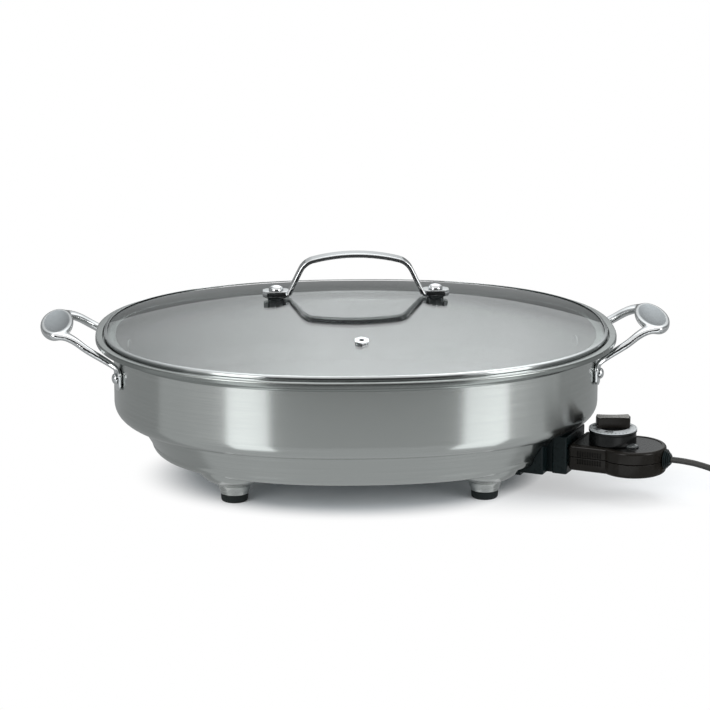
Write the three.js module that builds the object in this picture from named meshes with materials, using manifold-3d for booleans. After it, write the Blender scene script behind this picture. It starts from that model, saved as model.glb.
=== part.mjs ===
// Oval electric skillet: pan on a skirted base, lift-off glass lid, plug-in temperature control and its cord.
// Millimetres, +Z up. The origin is the middle of the pan at counter level, +X runs along the pan's length
// and -Y faces the cook.

import * as THREE from 'three';
import * as BufferGeometryUtils from 'three/addons/utils/BufferGeometryUtils.js';
import Module from 'manifold-3d';

// General
const gap = 0.3; // clearance between pieces that touch
const overrun = 4; // how far a cut runs past the face it opens
const ovalSides = 40; // facets round the pan
const ovalInset = 42; // how much less deep than long an oval is, at its full size
const ovalEase = 50; // half-length at which the ovals turn towards circles
const ovalPower = 2.3; // 2 is an ellipse, more is squarer
const degree = Math.PI / 180;

// Pan
const panWallHalf = 190; // half-length inside the wall
const panWall = 2.2;
const panFloorTop = 57;
const panFloorThick = 4;
const panCorner = 14; // inside radius between the wall and the floor
const panLipReach = 17.5; // how far the lip stands out from the inside of the wall
const panLipHalf = panWallHalf + panLipReach;
const panLipTop = 119.4;
const panLipTall = 4.5;
const panLipRound = 1.2;
const panLandWide = 3.6; // flat top of the lip, outside the lid's seat
const panLedgeDeep = 3.4; // how far the lid's seat lies below the lip
const panSeamTop = 109.3; // where the cove under the lip meets the shell
const panSeamProud = 0.9; // the cove's foot stands this far out from the shell
const studRadius = 3;
const studBottom = 21.5;

// Outer shell
const shellWall = 0.9;
const shellHalf = panWallHalf + panWall + gap + shellWall;
const shellBellyRise = 13.4; // height of the belly curve
const shellBellyRun = 17.4; // how far the belly curve draws in
const shellFlange = 4.5; // inward flange under the belly

// Base skirt and its foot bosses
const skirtWall = 1;
const skirtBottom = 24.6;
const skirtStepIn = 0.5; // from the foot of the belly in to the skirt
const skirtTopHalf = shellHalf - shellBellyRun - skirtStepIn;
const skirtDrawIn = 11.3; // how far the skirt draws in on its way down
const skirtFootHalf = skirtTopHalf - skirtDrawIn;
const skirtEdge = 8; // radius of the lower edge
const skirtTopFlange = 8;
const skirtFloorWide = 68.2; // from the lower edge in to the opening that the bottom cover closes
const skirtMouthHalf = skirtFootHalf - skirtFloorWide;
const footX_share = 0.5987; // of the skirt's half-length at its foot
const footY_share = 0.4446;
const bossSides = 12;
const bossBottom = 7.5;
const bossNeckRadius = 10.8;
const bossNeckTall = 3.8;
const bossFlareRadius = 27;
const bossFloor = 3.5;
const bossWall = 2;

// Feet
const footRadius = 10.2;
const footTaper = 0.7;
const footRecessRadius = 5.8;
const footRecessDeep = 3;
const screwRadius = 2;
const screwHeadRadius = 5;
const screwHeadTall = 2.2;
const screwLong = 14;

// Heater and bottom
const elementRadius = 3.7;
const elementInset = 46.2; // from the skirt's foot in to the heating loop
const elementHalf = skirtFootHalf - elementInset;
const elementOpening = 14 * degree; // half of the loop's open angle beside the socket
const clampWide = 16;
const clampThick = 1.5;
const clampOverhang = 6;
const coverOverlap = 8;
const coverThick = 1;
const reflectorInset = 24.2; // from the skirt's foot in to the reflector's edge
const reflectorHalf = skirtFootHalf - reflectorInset;
const reflectorThick = 1;
const sleeveWall = 1.6;
const nutRadius = 6;
const nutTall = 4.6;

// Side handles
const gripReach = 30.5; // from the lip out to the middle of the grip plate
const gripX = panLipHalf + gripReach;
const gripTop = 128.3;
const gripThick = 7;
const gripHalfWide = 13;
const gripHalfLong = 42;
const gripRound = 2.2;
const gripFaceInset = 2.8; // width of the polished border round the grip's face
const gripFaceDeep = 0.8;
const armSpan = 102; // between the middles of the two tabs
const armWide = 9.6;
const armRootWide = 21; // where an arm leaves the grip plate
const armThick = 5.2;
const tabWide = 13.4;
const tabThick = 3.2;
const tabBottom = 84;
const rivetZ = 94;
const rivetRadius = 2.3;
const rivetDomeRadius = 4.4;
const rivetDomeTall = 3;
const rivetInnerRadius = 4.6;
const rivetInnerTall = 1.2;
// Places along an arm from the grip to the foot of its tab: out from the wall, along Y and up, each as a
// share of the arm's reach, of half the span and of the height between the tab's foot and the grip
const armRoute_shares = [
  [1.02, 0.61, 1.0], [0.82, 0.77, 0.975], [0.48, 0.83, 0.75], [0.19, 0.87, 0.54], [0.04, 0.94, 0.43],
  [0, 1.0, 0.36], [0, 1.0, 0],
];

// Lid
const glassInset = 2.7; // from the land of the lip in to the glass's edge
const glassHalf = panLipHalf - panLipRound - panLandWide - glassInset;
const glassThick = 3.6;
const glassEdgeTop = 121;
const glassCrown = 26.5;
const rimWall = 0.8;
const rimLap = 4.2; // how far the steel band laps over the glass
const rimSide = 0.9; // gap between the band and the side of its seat
const ventDepth_share = 0.642; // of the glass's half-depth, towards the cook
const ventFlange = 5.9;
const ventFlangeThick = 1.4;
const ventNeck = 3.6;
const ventBore = 2.15;

// Lid handle
const lidScrewSpan = 127;
const lidTabLong = 21.5;
const lidTabWide = 16;
const lidTabThick = 3.9;
const lidTabChamfer = 4;
const lidTabLift = 1.4; // from the glass under the screws to the tab
const archRise = 34.4; // from the crown of the glass to the top of the arch
const archTop = glassEdgeTop + glassCrown + archRise;
const archThick = 3.4;
const archWide = 13;
const archCrownRadius = 140;
const archFootInset = 8.1; // from the screw in to the outside of the arch's foot
const archCornerRadius = 17;
const archLean = 64 * degree;
const archEdge = 0.9;
const gasketRadius = 6.8;
const gasketThick = 1;
const lidScrewHeadRadius = 5.9;
const lidScrewHeadTall = 5.2;
const lidScrewRadius = 2.2;
const lidNutRadius = 6;
const lidNutTall = 4;
const glassHole = 4.2;

// Socket and its guard: X runs out from the skirt along the control, Y away from the cook
const socketAngle = -26 * degree;
const terminalZ = 34;
const pinSpan = 24;
const pinRadius = 2.5;
const pinReach = 10.5;
const pinRoot = -18.7;
const blockBack = -16;
const blockThick = 4;
const blockHalfWide = 17;
const blockHalfTall = 6;
const guardBottom = 20.3;
const guardTop = 50.6;
const guardBack = -26;
const guardStep = -2.6; // front of the wide part
const guardNeckEnd = 1.8;
const guardFront = 14;
const guardHalfWide = 30;
const guardNeckHalf = 19.4;
const guardMouthHalf = 21.6;
const guardChamfer = 1.6;
const guardToeLong = 5;
const guardToeDrop = 2.3;
const mouthHalfWide = 17.8;
const mouthBottom = 26;
const mouthTop = 42.6;
const wellHalfWide = 5.6;
const wellBottom = 29;
const wellNear = -24;
const wellFar = -84;
const probeRadius = 3;
const probeTip = -80;

// Control
const housingBack = 15.4; // face towards the pan
const housingBottom = 24;
const housingSeam = 35.2;
const housingTop = 45;
const housingWall = 2.2;
const housingNeckHalf = 21;
const headX = 61.3;
const headRadius = 26.2;
const housingRound = 2.6;
const dialX = 44.5;
const dialBossRadius = 13;
const dialBossTall = 2;
const noseBack = -1;
const noseEnd = 22;
const noseHalfWide = 17.2;
const noseBottom = 28;
const noseTop = 40;
const sleeveOuter = 4;
const sleeveInner = 2.8;
const probeRoot = 24;
const stripLong = 26;
const stripWide = 8;
const stripThick = 1;
const stripZ = 29.6;
const stripPostLong = 5;
const lampX = 62.6;
const lampY = -6.8;
const lampRadius = 2.6;
const lampPostRadius = 3.2;
const lampPostTop = 31;
const lensRadius = 5.4;
const lensStem = 4;
const lensTall = 1.7;
const caseScrewX = 75;
const caseScrewRadius = 1.5;
const caseScrewHead = 3;
const caseBossRadius = 4;
const caseBossHole = 1.8;

// Dial
const dialRadius = 18.9;
const dialGap = 0.4;
const dialBaseTall = 8.2;
const dialRingInner = 12.4;
const dialRingTall = 1.5;
const dialSides = 28;
const dialHubRadius = 12;
const dialHubTall = 1.9;
const gripBarLong = 25;
const gripBarWide = 13.5;
const gripBarWaist = 10.2;
const gripBarTall = 8;
const gripBarTurn = 24 * degree;
const shaftRadius = 3;
const camRadius = 6;
const camTall = 2;
const camZ = 33;

// Cord, its boot and its plug
const cordRadius = 2.4;
const cordZ = 36;
const bootRoot = 80;
const bootEnd = 92.4;
const bootCore = 5;
const bootFlange = 8.2;
const bootGroove = 5.2;
const bootTip = 3.6;
const bootSides = 8;
// Where the cord runs from the boot to the coil, in the control's frame: it hangs, comes down and lies on
// the counter
const cordRoute = [
  [92.7, 0, 36], [97.5, 0, 36], [102.3, 0, 35.9], [107, 0, 35.6], [111.6, 0, 35.2], [116, 0, 34.5],
  [120.5, 0, 33.7], [125, 0, 32.6], [131, -0.2, 30.6], [138, -0.6, 27.4], [145, -1, 23.2], [152, -1.5, 18.2],
  [159, -2, 13], [166, -2.4, 8.4], [172, -2.7, 5.3], [178, -2.9, 3.7], [184, -3, 3.3], [190, -3, 3.3],
];
const coilTurns = 4 + 206 / 360;
const coilMeanRadius = 26;
const coilPitch = 5.4; // from one turn to the next, beside and above
const coilSides = 6;
const coilStepsPerTurn = 24;
const tieThick = 0.6;
const tieWide = 5;
const tieAngle = -30 * degree;
const plugLong = 27;
const plugHalfWide = 10.5;
const plugNeckHalf = 4.2;
const plugTall = 12.4;
const plugBoot = 13;
const bladeSpan = 12.7;
const bladeWide = 6.3;
const bladeThick = 1.5;
const bladeLong = 16;
const bladeRoot = 6;

// Finishes
const polished = { metalness: 1, roughness: 0.08 };
const finishes = {
  brushed: { color: 0x8a8d8b, metalness: 1, roughness: 0.36 },
  chrome: { color: 0xd5d8da, ...polished },
  satin: { color: 0xa9adb0, metalness: 1, roughness: 0.3 },
  nonstick: { color: 0x4a4d50, metalness: 0.1, roughness: 0.45 },
  glass: { color: 0xa9b0b4, metalness: 0, roughness: 0.05, transparent: true, opacity: 0.35 },
  aluminium: { color: 0xa6a8aa, metalness: 1, roughness: 0.5 },
  heater: { color: 0x5d605f, metalness: 0.8, roughness: 0.5 },
  phenolic: { color: 0x121a1b, metalness: 0, roughness: 0.4 },
  housing: { color: 0x2b2a28, metalness: 0, roughness: 0.3 },
  rubber: { color: 0x0d1313, metalness: 0, roughness: 0.8 },
  cable: { color: 0x33312f, metalness: 0, roughness: 0.6 },
  ceramic: { color: 0xd9d4c8, metalness: 0, roughness: 0.7 },
  brass: { color: 0xb59a55, metalness: 1, roughness: 0.35 },
  lens: { color: 0xcfd6d8, metalness: 0, roughness: 0.08, transparent: true, opacity: 0.5 },
};

// Making solids

const wasm = await Module();
wasm.setup();

// A geometry with its shared corners merged and its faces without area dropped
function closed(geometry) {
  geometry.deleteAttribute('normal');
  geometry.deleteAttribute('uv');
  const merged = BufferGeometryUtils.mergeVertices(geometry);
  const corners = merged.index.array;
  const kept = [];
  for (let i = 0; i < corners.length; i += 3) {
    const [a, b, c] = corners.slice(i, i + 3);
    if (a !== b && b !== c && c !== a) kept.push(a, b, c);
  }
  merged.setIndex(kept);
  merged.computeVertexNormals();
  return merged;
}

function solid(geometry) {
  const shell = closed(geometry.clone());
  return new wasm.Manifold(new wasm.Mesh({
    numProp: 3,
    vertProperties: Float32Array.from(shell.attributes.position.array),
    triVerts: Uint32Array.from(shell.index.array),
  }));
}

function geometryOf(body) {
  const mesh = body.getMesh();
  const geometry = new THREE.BufferGeometry();
  geometry.setAttribute('position', new THREE.BufferAttribute(Float32Array.from(mesh.vertProperties), 3));
  geometry.setIndex(new THREE.BufferAttribute(Uint32Array.from(mesh.triVerts), 1));
  geometry.computeVertexNormals();
  return geometry;
}

function joined(...geometries) {
  return geometryOf(geometries.map(solid).reduce((whole, piece) => whole.add(piece)));
}

function cut(geometry, ...cutters) {
  return geometryOf(cutters.map(solid).reduce((whole, cutter) => whole.subtract(cutter), solid(geometry)));
}

// A closed outline for a ring: the last point is the first again
function ring(profile) {
  return [...profile, profile[0]];
}

// A profile of [radius, height] turned about Z, anticlockwise from its foot
function turned(profile, sides) {
  const points = profile.map(([radius, height]) => new THREE.Vector2(radius, height));
  return closed(new THREE.LatheGeometry(points, sides).rotateX(Math.PI / 2));
}

function rod(radius, from, to, sides) {
  return turned([[0, from], [radius, from], [radius, to], [0, to]], sides);
}

function tube(outer, inner, from, to, sides) {
  return turned(ring([[outer, from], [outer, to], [inner, to], [inner, from]]), sides);
}

// A turned piece laid along +X
function alongX(geometry) {
  return geometry.rotateY(Math.PI / 2);
}

function box(x0, x1, y0, y1, z0, z1) {
  const block = new THREE.BoxGeometry(x1 - x0, y1 - y0, z1 - z0);
  return block.translate((x0 + x1) / 2, (y0 + y1) / 2, (z0 + z1) / 2);
}

// An outline in plan raised from one height to another, its edges rounded by bevel
function slab(shape, from, to, bevel = 0, curveSegments = 12) {
  const options = { depth: to - from - 2 * bevel, bevelEnabled: bevel > 0, curveSegments };
  Object.assign(options, { bevelThickness: bevel, bevelSize: bevel, bevelOffset: -bevel, bevelSegments: 1 });
  return closed(new THREE.ExtrudeGeometry(shape, options).translate(0, 0, from + bevel));
}

function outline(points) {
  return new THREE.Shape(points.map(([x, y]) => new THREE.Vector2(x, y)));
}

// A skin over a row of like rings of points, with a flat fan at each end
function lofted(rings) {
  const count = rings[0].length;
  const positions = rings.flat().flatMap((point) => point.toArray());
  const index = [];
  for (let i = 0; i + 1 < rings.length; i += 1) {
    for (let k = 0; k < count; k += 1) {
      const a = i * count + k;
      const b = i * count + ((k + 1) % count);
      index.push(a, b, b + count, a, b + count, a + count);
    }
  }
  const last = (rings.length - 1) * count;
  for (let k = 1; k + 1 < count; k += 1) {
    index.push(0, k + 1, k);
    index.push(last, last + k, last + k + 1);
  }
  const geometry = new THREE.BufferGeometry();
  geometry.setAttribute('position', new THREE.Float32BufferAttribute(positions, 3));
  geometry.setIndex(index);
  return geometry;
}

function power(value, exponent) {
  return Math.sign(value) * Math.abs(value) ** exponent;
}

// Ovals

function ovalDepth(half) {
  return half - ovalInset * half * half / (half * half + ovalEase * ovalEase);
}

function ovalPoint(half, angle) {
  const x = half * power(Math.cos(angle), 2 / ovalPower);
  const y = ovalDepth(half) * power(Math.sin(angle), 2 / ovalPower);
  return new THREE.Vector2(x, y);
}

// A profile of [half-length, height] carried round the oval
function oval(profile) {
  const geometry = turned(profile, ovalSides);
  const position = geometry.attributes.position;
  for (let i = 0; i < position.count; i += 1) {
    const point = ovalPoint(Math.hypot(position.getX(i), position.getY(i)),
      Math.atan2(position.getY(i), position.getX(i)));
    position.setXY(i, point.x, point.y);
  }
  return geometry;
}

// Where the facets of the oval's +X end stand at a given y, and which way they face there
function ovalAt(half, y) {
  const step = 2 * Math.PI / ovalSides;
  const corners = Array.from({ length: ovalSides / 4 + 1 }, (_, i) => ovalPoint(half, i * step));
  const next = corners.findIndex((corner) => corner.y > y);
  const [from, to] = [corners[next - 1], corners[next]];
  const x = from.x + (to.x - from.x) * (y - from.y) / (to.y - from.y);
  return { x, y, angle: Math.atan2(from.x - to.x, to.y - from.y) };
}

// Where the oval faces a given way
function ovalFacing(half, angle) {
  const slope = ovalDepth(half) / half * Math.tan(angle);
  return ovalPoint(half, Math.atan(power(slope, 1 / (2 - 2 / ovalPower))));
}

// A quarter of an ellipse from one [x, z] to another, leaving the first upright or level
function quarter(from, to, upright, steps = 6) {
  return Array.from({ length: steps + 1 }, (_, i) => {
    const turn = i / steps * Math.PI / 2;
    const [slow, fast] = [1 - Math.cos(turn), Math.sin(turn)];
    const [x, z] = upright ? [slow, fast] : [fast, slow];
    return [from[0] + (to[0] - from[0]) * x, from[1] + (to[1] - from[1]) * z];
  });
}

// The model and its groups

const skillet = new THREE.Group();
const socketFace = (skirtTopHalf + skirtFootHalf) / 2;
const socketPoint = ovalFacing(socketFace, socketAngle);
const socketFrame = new THREE.Matrix4().makeRotationZ(socketAngle);
socketFrame.setPosition(socketPoint.x, socketPoint.y, 0);
const intoSocket = socketFrame.clone().invert();

function group(parent) {
  const made = new THREE.Group();
  parent.add(made);
  return made;
}

const base = group(skillet);
const socket = group(skillet);
const control = group(skillet);
const lid = group(skillet);
for (const placed of [socket, control]) {
  placed.position.set(socketPoint.x, socketPoint.y, 0);
  placed.rotation.z = socketAngle;
}

function add(parent, name, geometry, finish) {
  const mesh = new THREE.Mesh(geometry, new THREE.MeshStandardMaterial(finishes[finish]));
  mesh.name = name;
  parent.add(mesh);
  return mesh;
}

// Rivets: their places on the shell, and the holes that they need

const rivetSeat = ovalAt(shellHalf, armSpan / 2);

// Puts a piece made along +X, with the shell's face at X = 0, on the shell at a rivet
function atRivet(geometry, side, end) {
  const placed = geometry.clone().rotateZ(rivetSeat.angle * side)
    .translate(rivetSeat.x, rivetSeat.y * side, rivetZ);
  return end > 0 ? placed : placed.rotateZ(Math.PI);
}

const rivetPlaces = [];
for (const [end, endName] of [[1, 'right'], [-1, 'left']]) {
  for (const side of [-1, 1]) {
    const facing = side * end < 0 ? 'front' : 'back';
    rivetPlaces.push({ end, side, name: `rivet_${endName}_${facing}` });
  }
}
const rivetHole = alongX(rod(rivetRadius + gap, -overrun - panWall, overrun + tabThick, 10));
const rivetHoles = rivetPlaces.map(({ end, side }) => atRivet(rivetHole, side, end));

// Cooking pan

const panOuter = panWallHalf + panWall;
const panFloorBottom = panFloorTop - panFloorThick;
const shellBottom = panFloorBottom - gap - shellWall;
const bellyTop = shellBottom + shellBellyRise;
const bellyEndHalf = shellHalf - shellBellyRun;
const lipBottom = panLipTop - panLipTall;
const ledgeTop = panLipTop - panLedgeDeep;
const ledgeHalf = panLipHalf - panLipRound - panLandWide;
const seamHalf = shellHalf + panSeamProud;
const beadHalf = panLipHalf - panLipRound;

function panProfile() {
  const outside = [
    [0, panFloorBottom], ...quarter([bellyEndHalf - gap, panFloorBottom], [panOuter, bellyTop], false, 3),
    [panOuter, panSeamTop], [seamHalf, panSeamTop],
  ];
  const coveTop = [beadHalf - panLandWide, lipBottom - panLipRound];
  const cove = quarter([seamHalf, panSeamTop], coveTop, true, 3).slice(1);
  const lip = [
    [beadHalf, lipBottom], ...quarter([panLipHalf, lipBottom + panLipRound], [beadHalf, panLipTop], true, 2),
    [ledgeHalf, panLipTop], [ledgeHalf - panLipRound, panLipTop - panLipRound],
    [ledgeHalf - panLipRound, ledgeTop],
  ];
  const inside = [
    [panWallHalf + panLipRound, ledgeTop], [panWallHalf, ledgeTop - panLipRound],
    ...quarter([panWallHalf, panFloorTop + panCorner], [panWallHalf - panCorner, panFloorTop], true, 4),
    [0, panFloorTop],
  ];
  return [...outside, ...cove, ...lip, ...inside];
}

const stud = rod(studRadius, studBottom, panFloorTop - panFloorThick / 2, 12);
add(base, 'cooking_pan', cut(joined(oval(panProfile()), stud), ...rivetHoles), 'nonstick');

// Outer shell

function shellProfile(thick) {
  const outer = [
    [bellyEndHalf - shellFlange, shellBottom],
    ...quarter([bellyEndHalf, shellBottom], [shellHalf, bellyTop], false, 4),
    [shellHalf, panSeamTop - gap],
  ];
  const inner = [
    [shellHalf - thick, panSeamTop - gap],
    ...quarter([shellHalf - thick, bellyTop], [bellyEndHalf, shellBottom + thick], true, 3),
    [bellyEndHalf - shellFlange, shellBottom + thick],
  ];
  return ring([...outer, ...inner]);
}

add(base, 'outer_shell', cut(oval(shellProfile(shellWall)), ...rivetHoles), 'brushed');

// Base skirt with its four foot bosses

const skirtTop = shellBottom - gap;
const edgeTop = skirtBottom + skirtEdge;

function skirtWallOutside(clearance) {
  return [
    ...quarter([skirtFootHalf - skirtEdge, skirtBottom - clearance], [skirtFootHalf + clearance, edgeTop],
      false, 3),
    [skirtTopHalf + clearance, skirtTop],
  ];
}

function skirtProfile() {
  const inside = [
    [skirtTopHalf - skirtTopFlange, skirtTop], [skirtTopHalf - skirtTopFlange, skirtTop - skirtWall],
    [skirtTopHalf - skirtWall, skirtTop - skirtWall],
    ...quarter([skirtFootHalf - skirtWall, edgeTop], [skirtFootHalf - skirtEdge, skirtBottom + skirtWall],
      true, 3),
    [skirtMouthHalf, skirtBottom + skirtWall],
  ];
  return ring([[skirtMouthHalf, skirtBottom], ...skirtWallOutside(0), ...inside]);
}

const bossNeckTop = bossBottom + bossNeckTall;
const bossRise = skirtBottom + skirtWall / 2 - bossNeckTop;
const bossSpread = bossFlareRadius - bossNeckRadius;
// A step at the neck, then the flare: out and up, as shares of the boss's spread and its rise
const bossFlare_shares = [[0.08, 0.02], [0.16, 0.2], [0.57, 0.46], [0.84, 0.68], [1, 1]];
const bossHollow_shares = [[0.12, 0.12], [0.3, 0.5]];

function bossOutside(clearance) {
  const neck = bossNeckRadius + clearance;
  const flare = bossFlare_shares.map(([out, up]) => [neck + out * bossSpread, bossNeckTop + up * bossRise]);
  const top = flare[flare.length - 1][1];
  const foot = [[0, bossBottom], [neck, bossBottom], [neck, bossNeckTop - clearance]];
  return turned([...foot, ...flare, [0, top]], bossSides);
}

function bossInside() {
  const floor = bossBottom + bossFloor;
  const radius = bossNeckRadius - bossWall;
  const flare = bossHollow_shares.map(([out, up]) => [radius + out * bossSpread, bossNeckTop + up * bossRise]);
  const wide = flare[flare.length - 1][0];
  const top = skirtBottom + skirtWall + overrun;
  return turned([[0, floor], [radius, floor], ...flare, [wide, top], [0, top]], bossSides);
}

const footPlaces = [];
for (const [endSign, endName] of [[-1, 'left'], [1, 'right']]) {
  for (const [sideSign, sideName] of [[-1, 'front'], [1, 'back']]) {
    const [x, y] = [endSign * footX_share * skirtFootHalf, sideSign * footY_share * skirtFootHalf];
    footPlaces.push({ x, y, name: `${endName}_${sideName}` });
  }
}

function atFeet(geometry) {
  return footPlaces.map(({ x, y }) => geometry.clone().translate(x, y, 0));
}

const window = box(guardBack, overrun + guardFront, -mouthHalfWide, mouthHalfWide, mouthBottom, mouthTop);
const screwHole = rod(screwRadius + gap, bossBottom - overrun, bossBottom + bossFloor + overrun, 12);

function skirt() {
  const whole = joined(oval(skirtProfile()), ...atFeet(bossOutside(0)));
  const cutters = [...atFeet(bossInside()), ...atFeet(screwHole), window.clone().applyMatrix4(socketFrame)];
  return cut(whole, ...cutters);
}

add(base, 'base_skirt', skirt(), 'brushed');

// Rubber feet and the screws that hold them

const footTop = bossBottom - gap;
const footCap = turned(ring([
  [footRadius - footTaper, 0], [footRadius, footTaper], [footRadius, footTop], [screwRadius + gap, footTop],
  [screwRadius + gap, footRecessDeep], [footRecessRadius, footRecessDeep], [footRecessRadius, 0],
]), 12);
const screwHeadTop = footRecessDeep - gap;
const footScrew = turned([
  [0, screwHeadTop - screwHeadTall], [screwHeadRadius, screwHeadTop - screwHeadTall],
  [screwHeadRadius, screwHeadTop], [screwRadius, screwHeadTop], [screwRadius, screwLong], [0, screwLong],
], 10);
for (const { x, y, name } of footPlaces) {
  add(base, `foot_${name}`, footCap, 'rubber').position.set(x, y, 0);
  add(base, `foot_screw_${name}`, footScrew, 'satin').position.set(x, y, 0);
}

// Bottom cover, heat reflector, and what the stud holds

const coverBottom = skirtBottom + skirtWall + gap;
const coverTop = coverBottom + coverThick;
const coverHalf = skirtMouthHalf + coverOverlap;
add(base, 'bottom_cover', oval(ring([
  [studRadius + gap, coverBottom], [coverHalf, coverBottom], [coverHalf, coverTop],
  [studRadius + gap, coverTop],
])), 'satin');

const reflectorBottom = coverTop + gap;
const reflectorTop = reflectorBottom + reflectorThick;
add(base, 'heat_reflector', oval(ring([
  [studRadius + gap, reflectorBottom], [reflectorHalf, reflectorBottom], [reflectorHalf, reflectorTop],
  [studRadius + gap, reflectorTop],
])), 'aluminium');

const elementZ = panFloorBottom - gap - elementRadius;
const clampTop = elementZ - elementRadius - gap;
const clampBottom = clampTop - clampThick;
const sleeveBore = studRadius + gap;
const sleeve = tube(sleeveBore + sleeveWall, sleeveBore, reflectorTop + gap, clampBottom - gap, 16);
add(base, 'stud_sleeve', sleeve, 'satin');

const clampHalfLong = ovalDepth(elementHalf) + clampOverhang;
const clampBar = box(-clampWide / 2, clampWide / 2, -clampHalfLong, clampHalfLong, clampBottom, clampTop);
const clampHole = rod(studRadius + gap, clampBottom - overrun, clampTop + overrun, 12);
add(base, 'element_clamp', cut(clampBar, clampHole), 'satin');

const nutTop = coverBottom - gap;
const nutBottom = nutTop - nutTall;
const studHole = rod(studRadius + gap, studBottom - gap, nutTop + overrun, 12);
add(base, 'cover_nut', cut(rod(nutRadius, nutBottom, nutTop, 6), studHole), 'satin');

// Heating element: a loop under the pan's floor, whose ends come down to the socket

function elementPath() {
  const lead = (side) => [
    [pinRoot - gap, terminalZ], [pinRoot - 3 * elementRadius, terminalZ + gap],
    [pinRoot - 7 * elementRadius, elementZ - elementRadius / 2],
  ].map(([x, z]) => new THREE.Vector3(x, side * pinSpan / 2, z).applyMatrix4(socketFrame));
  const slope = ovalDepth(elementHalf) / elementHalf * Math.tan(socketAngle);
  const middle = Math.atan(power(slope, 1 / (2 - 2 / ovalPower)));
  const count = 12;
  const loop = Array.from({ length: count }, (_, i) => {
    const sweep = 2 * Math.PI - 2 * elementOpening;
    const point = ovalPoint(elementHalf, middle - elementOpening - sweep * i / (count - 1));
    return new THREE.Vector3(point.x, point.y, elementZ);
  });
  return new THREE.CatmullRomCurve3([...lead(-1), ...loop, ...lead(1).reverse()], false, 'centripetal');
}

function roundSection(radius, sides) {
  return outline(Array.from({ length: sides }, (_, i) => {
    const angle = 2 * Math.PI * (i + 0.5) / sides;
    return [radius * Math.cos(angle), radius * Math.sin(angle)];
  }));
}

function wire(curve, radius, sides, steps) {
  const options = { extrudePath: curve, steps, bevelEnabled: false };
  return closed(new THREE.ExtrudeGeometry(roundSection(radius, sides), options));
}

add(base, 'heating_element', wire(elementPath(), elementRadius, 6, 40), 'heater');

// Side handles

const armReach = gripX - rivetSeat.x - gap - tabThick / 2;
const gripMiddle = gripTop - gripThick / 2;
const armRise = gripMiddle - tabBottom;
const armStations = 12;
const armSectionSides = 8;
const rootEnd_share = 0.3; // along the arm, where it has drawn in from its root
const tabFrom_share = 0.6; // along the arm, where it has become the tab
const tabTip_share = 0.93; // along the arm, where the tab starts to round off
const sectionPower = 0.62;

function armCurve(side) {
  const points = armRoute_shares.map(([out, along, up]) => new THREE.Vector3(
    gripX - armReach + out * armReach, side * along * armSpan / 2, tabBottom + up * armRise));
  return new THREE.CatmullRomCurve3(points, false, 'centripetal');
}

function arm(side) {
  const curve = armCurve(side);
  const rings = Array.from({ length: armStations + 1 }, (_, i) => {
    const t = 1 - (1 - i / armStations) ** 1.3;
    const point = curve.getPointAt(t);
    const along = curve.getTangentAt(t);
    const flat = THREE.MathUtils.smoothstep(t, 0, tabFrom_share);
    const facing = rivetSeat.angle * side * flat;
    const across = new THREE.Vector3(-Math.sin(facing), Math.cos(facing), 0);
    const outward = new THREE.Vector3().crossVectors(along, across).normalize();
    const past = Math.max(0, (t - tabTip_share) / (1 - tabTip_share));
    const tip = Math.sqrt(1 - Math.min(past, 0.97) ** 2);
    const root = (armRootWide - armWide) * (1 - THREE.MathUtils.smoothstep(t, 0, rootEnd_share));
    const halfWide = (THREE.MathUtils.lerp(armWide, tabWide, flat) + root) / 2 * tip;
    const halfThick = THREE.MathUtils.lerp(armThick, tabThick, flat) / 2;
    return Array.from({ length: armSectionSides }, (_, k) => {
      const turn = 2 * Math.PI * k / armSectionSides;
      const wide = power(Math.cos(turn), sectionPower) * halfWide;
      const thick = power(Math.sin(turn), sectionPower) * halfThick;
      return point.clone().addScaledVector(across, wide).addScaledVector(outward, thick);
    });
  });
  return lofted(rings);
}

function gripPlate() {
  const edge = new THREE.Shape().absellipse(0, 0, gripHalfWide, gripHalfLong, 0, 2 * Math.PI);
  const face = new THREE.Shape()
    .absellipse(0, 0, gripHalfWide - gripFaceInset, gripHalfLong - 2 * gripFaceInset, 0, 2 * Math.PI);
  const plate = slab(edge, gripTop - gripThick, gripTop, gripRound, 7);
  const recess = slab(face, gripTop - gripFaceDeep, gripTop + overrun, 0, 7);
  return [plate.translate(gripX, 0, 0), recess.translate(gripX, 0, 0)];
}

function handle() {
  const [plate, recess] = gripPlate();
  const wall = oval([[0, 0], [shellHalf + gap, 0], [shellHalf + gap, gripTop], [0, gripTop]]);
  return cut(joined(plate, arm(-1), arm(1)), recess, wall, ...rivetHoles.slice(0, 2));
}

const handleShape = handle();
add(base, 'handle_right', handleShape, 'chrome');
add(base, 'handle_left', handleShape, 'chrome').rotation.z = Math.PI;

// Rivets: a flat head inside the pan, the shank, and a domed head on the handle's tab

const rivetOuter = tabThick + 2 * gap;
const rivetInner = -(shellHalf - panWallHalf) - gap;
const rivet = alongX(turned([
  [0, rivetInner - rivetInnerTall], [rivetInnerRadius, rivetInner - rivetInnerTall],
  [rivetInnerRadius, rivetInner], [rivetRadius, rivetInner], [rivetRadius, rivetOuter],
  ...quarter([rivetDomeRadius, rivetOuter], [0, rivetOuter + rivetDomeTall], true, 3),
], 10));
for (const { end, side, name } of rivetPlaces) {
  add(base, name, atRivet(rivet, side, end), 'chrome');
}

// Socket: pins, the block that holds them, the well for the probe, and the guard

const pinEnds = [[-1, 'front'], [1, 'back']];
const pin = alongX(turned([
  [0, pinRoot], [pinRadius, pinRoot], [pinRadius, pinReach - pinRadius / 2], [pinRadius / 2, pinReach],
  [0, pinReach],
], 12));

for (const [side, name] of pinEnds) {
  add(socket, `terminal_pin_${name}`, pin, 'chrome').position.set(0, side * pinSpan / 2, terminalZ);
}

function holeAlongX(radius, from, to, y, z) {
  return alongX(rod(radius, from, to, 12)).translate(0, y, z);
}

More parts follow.
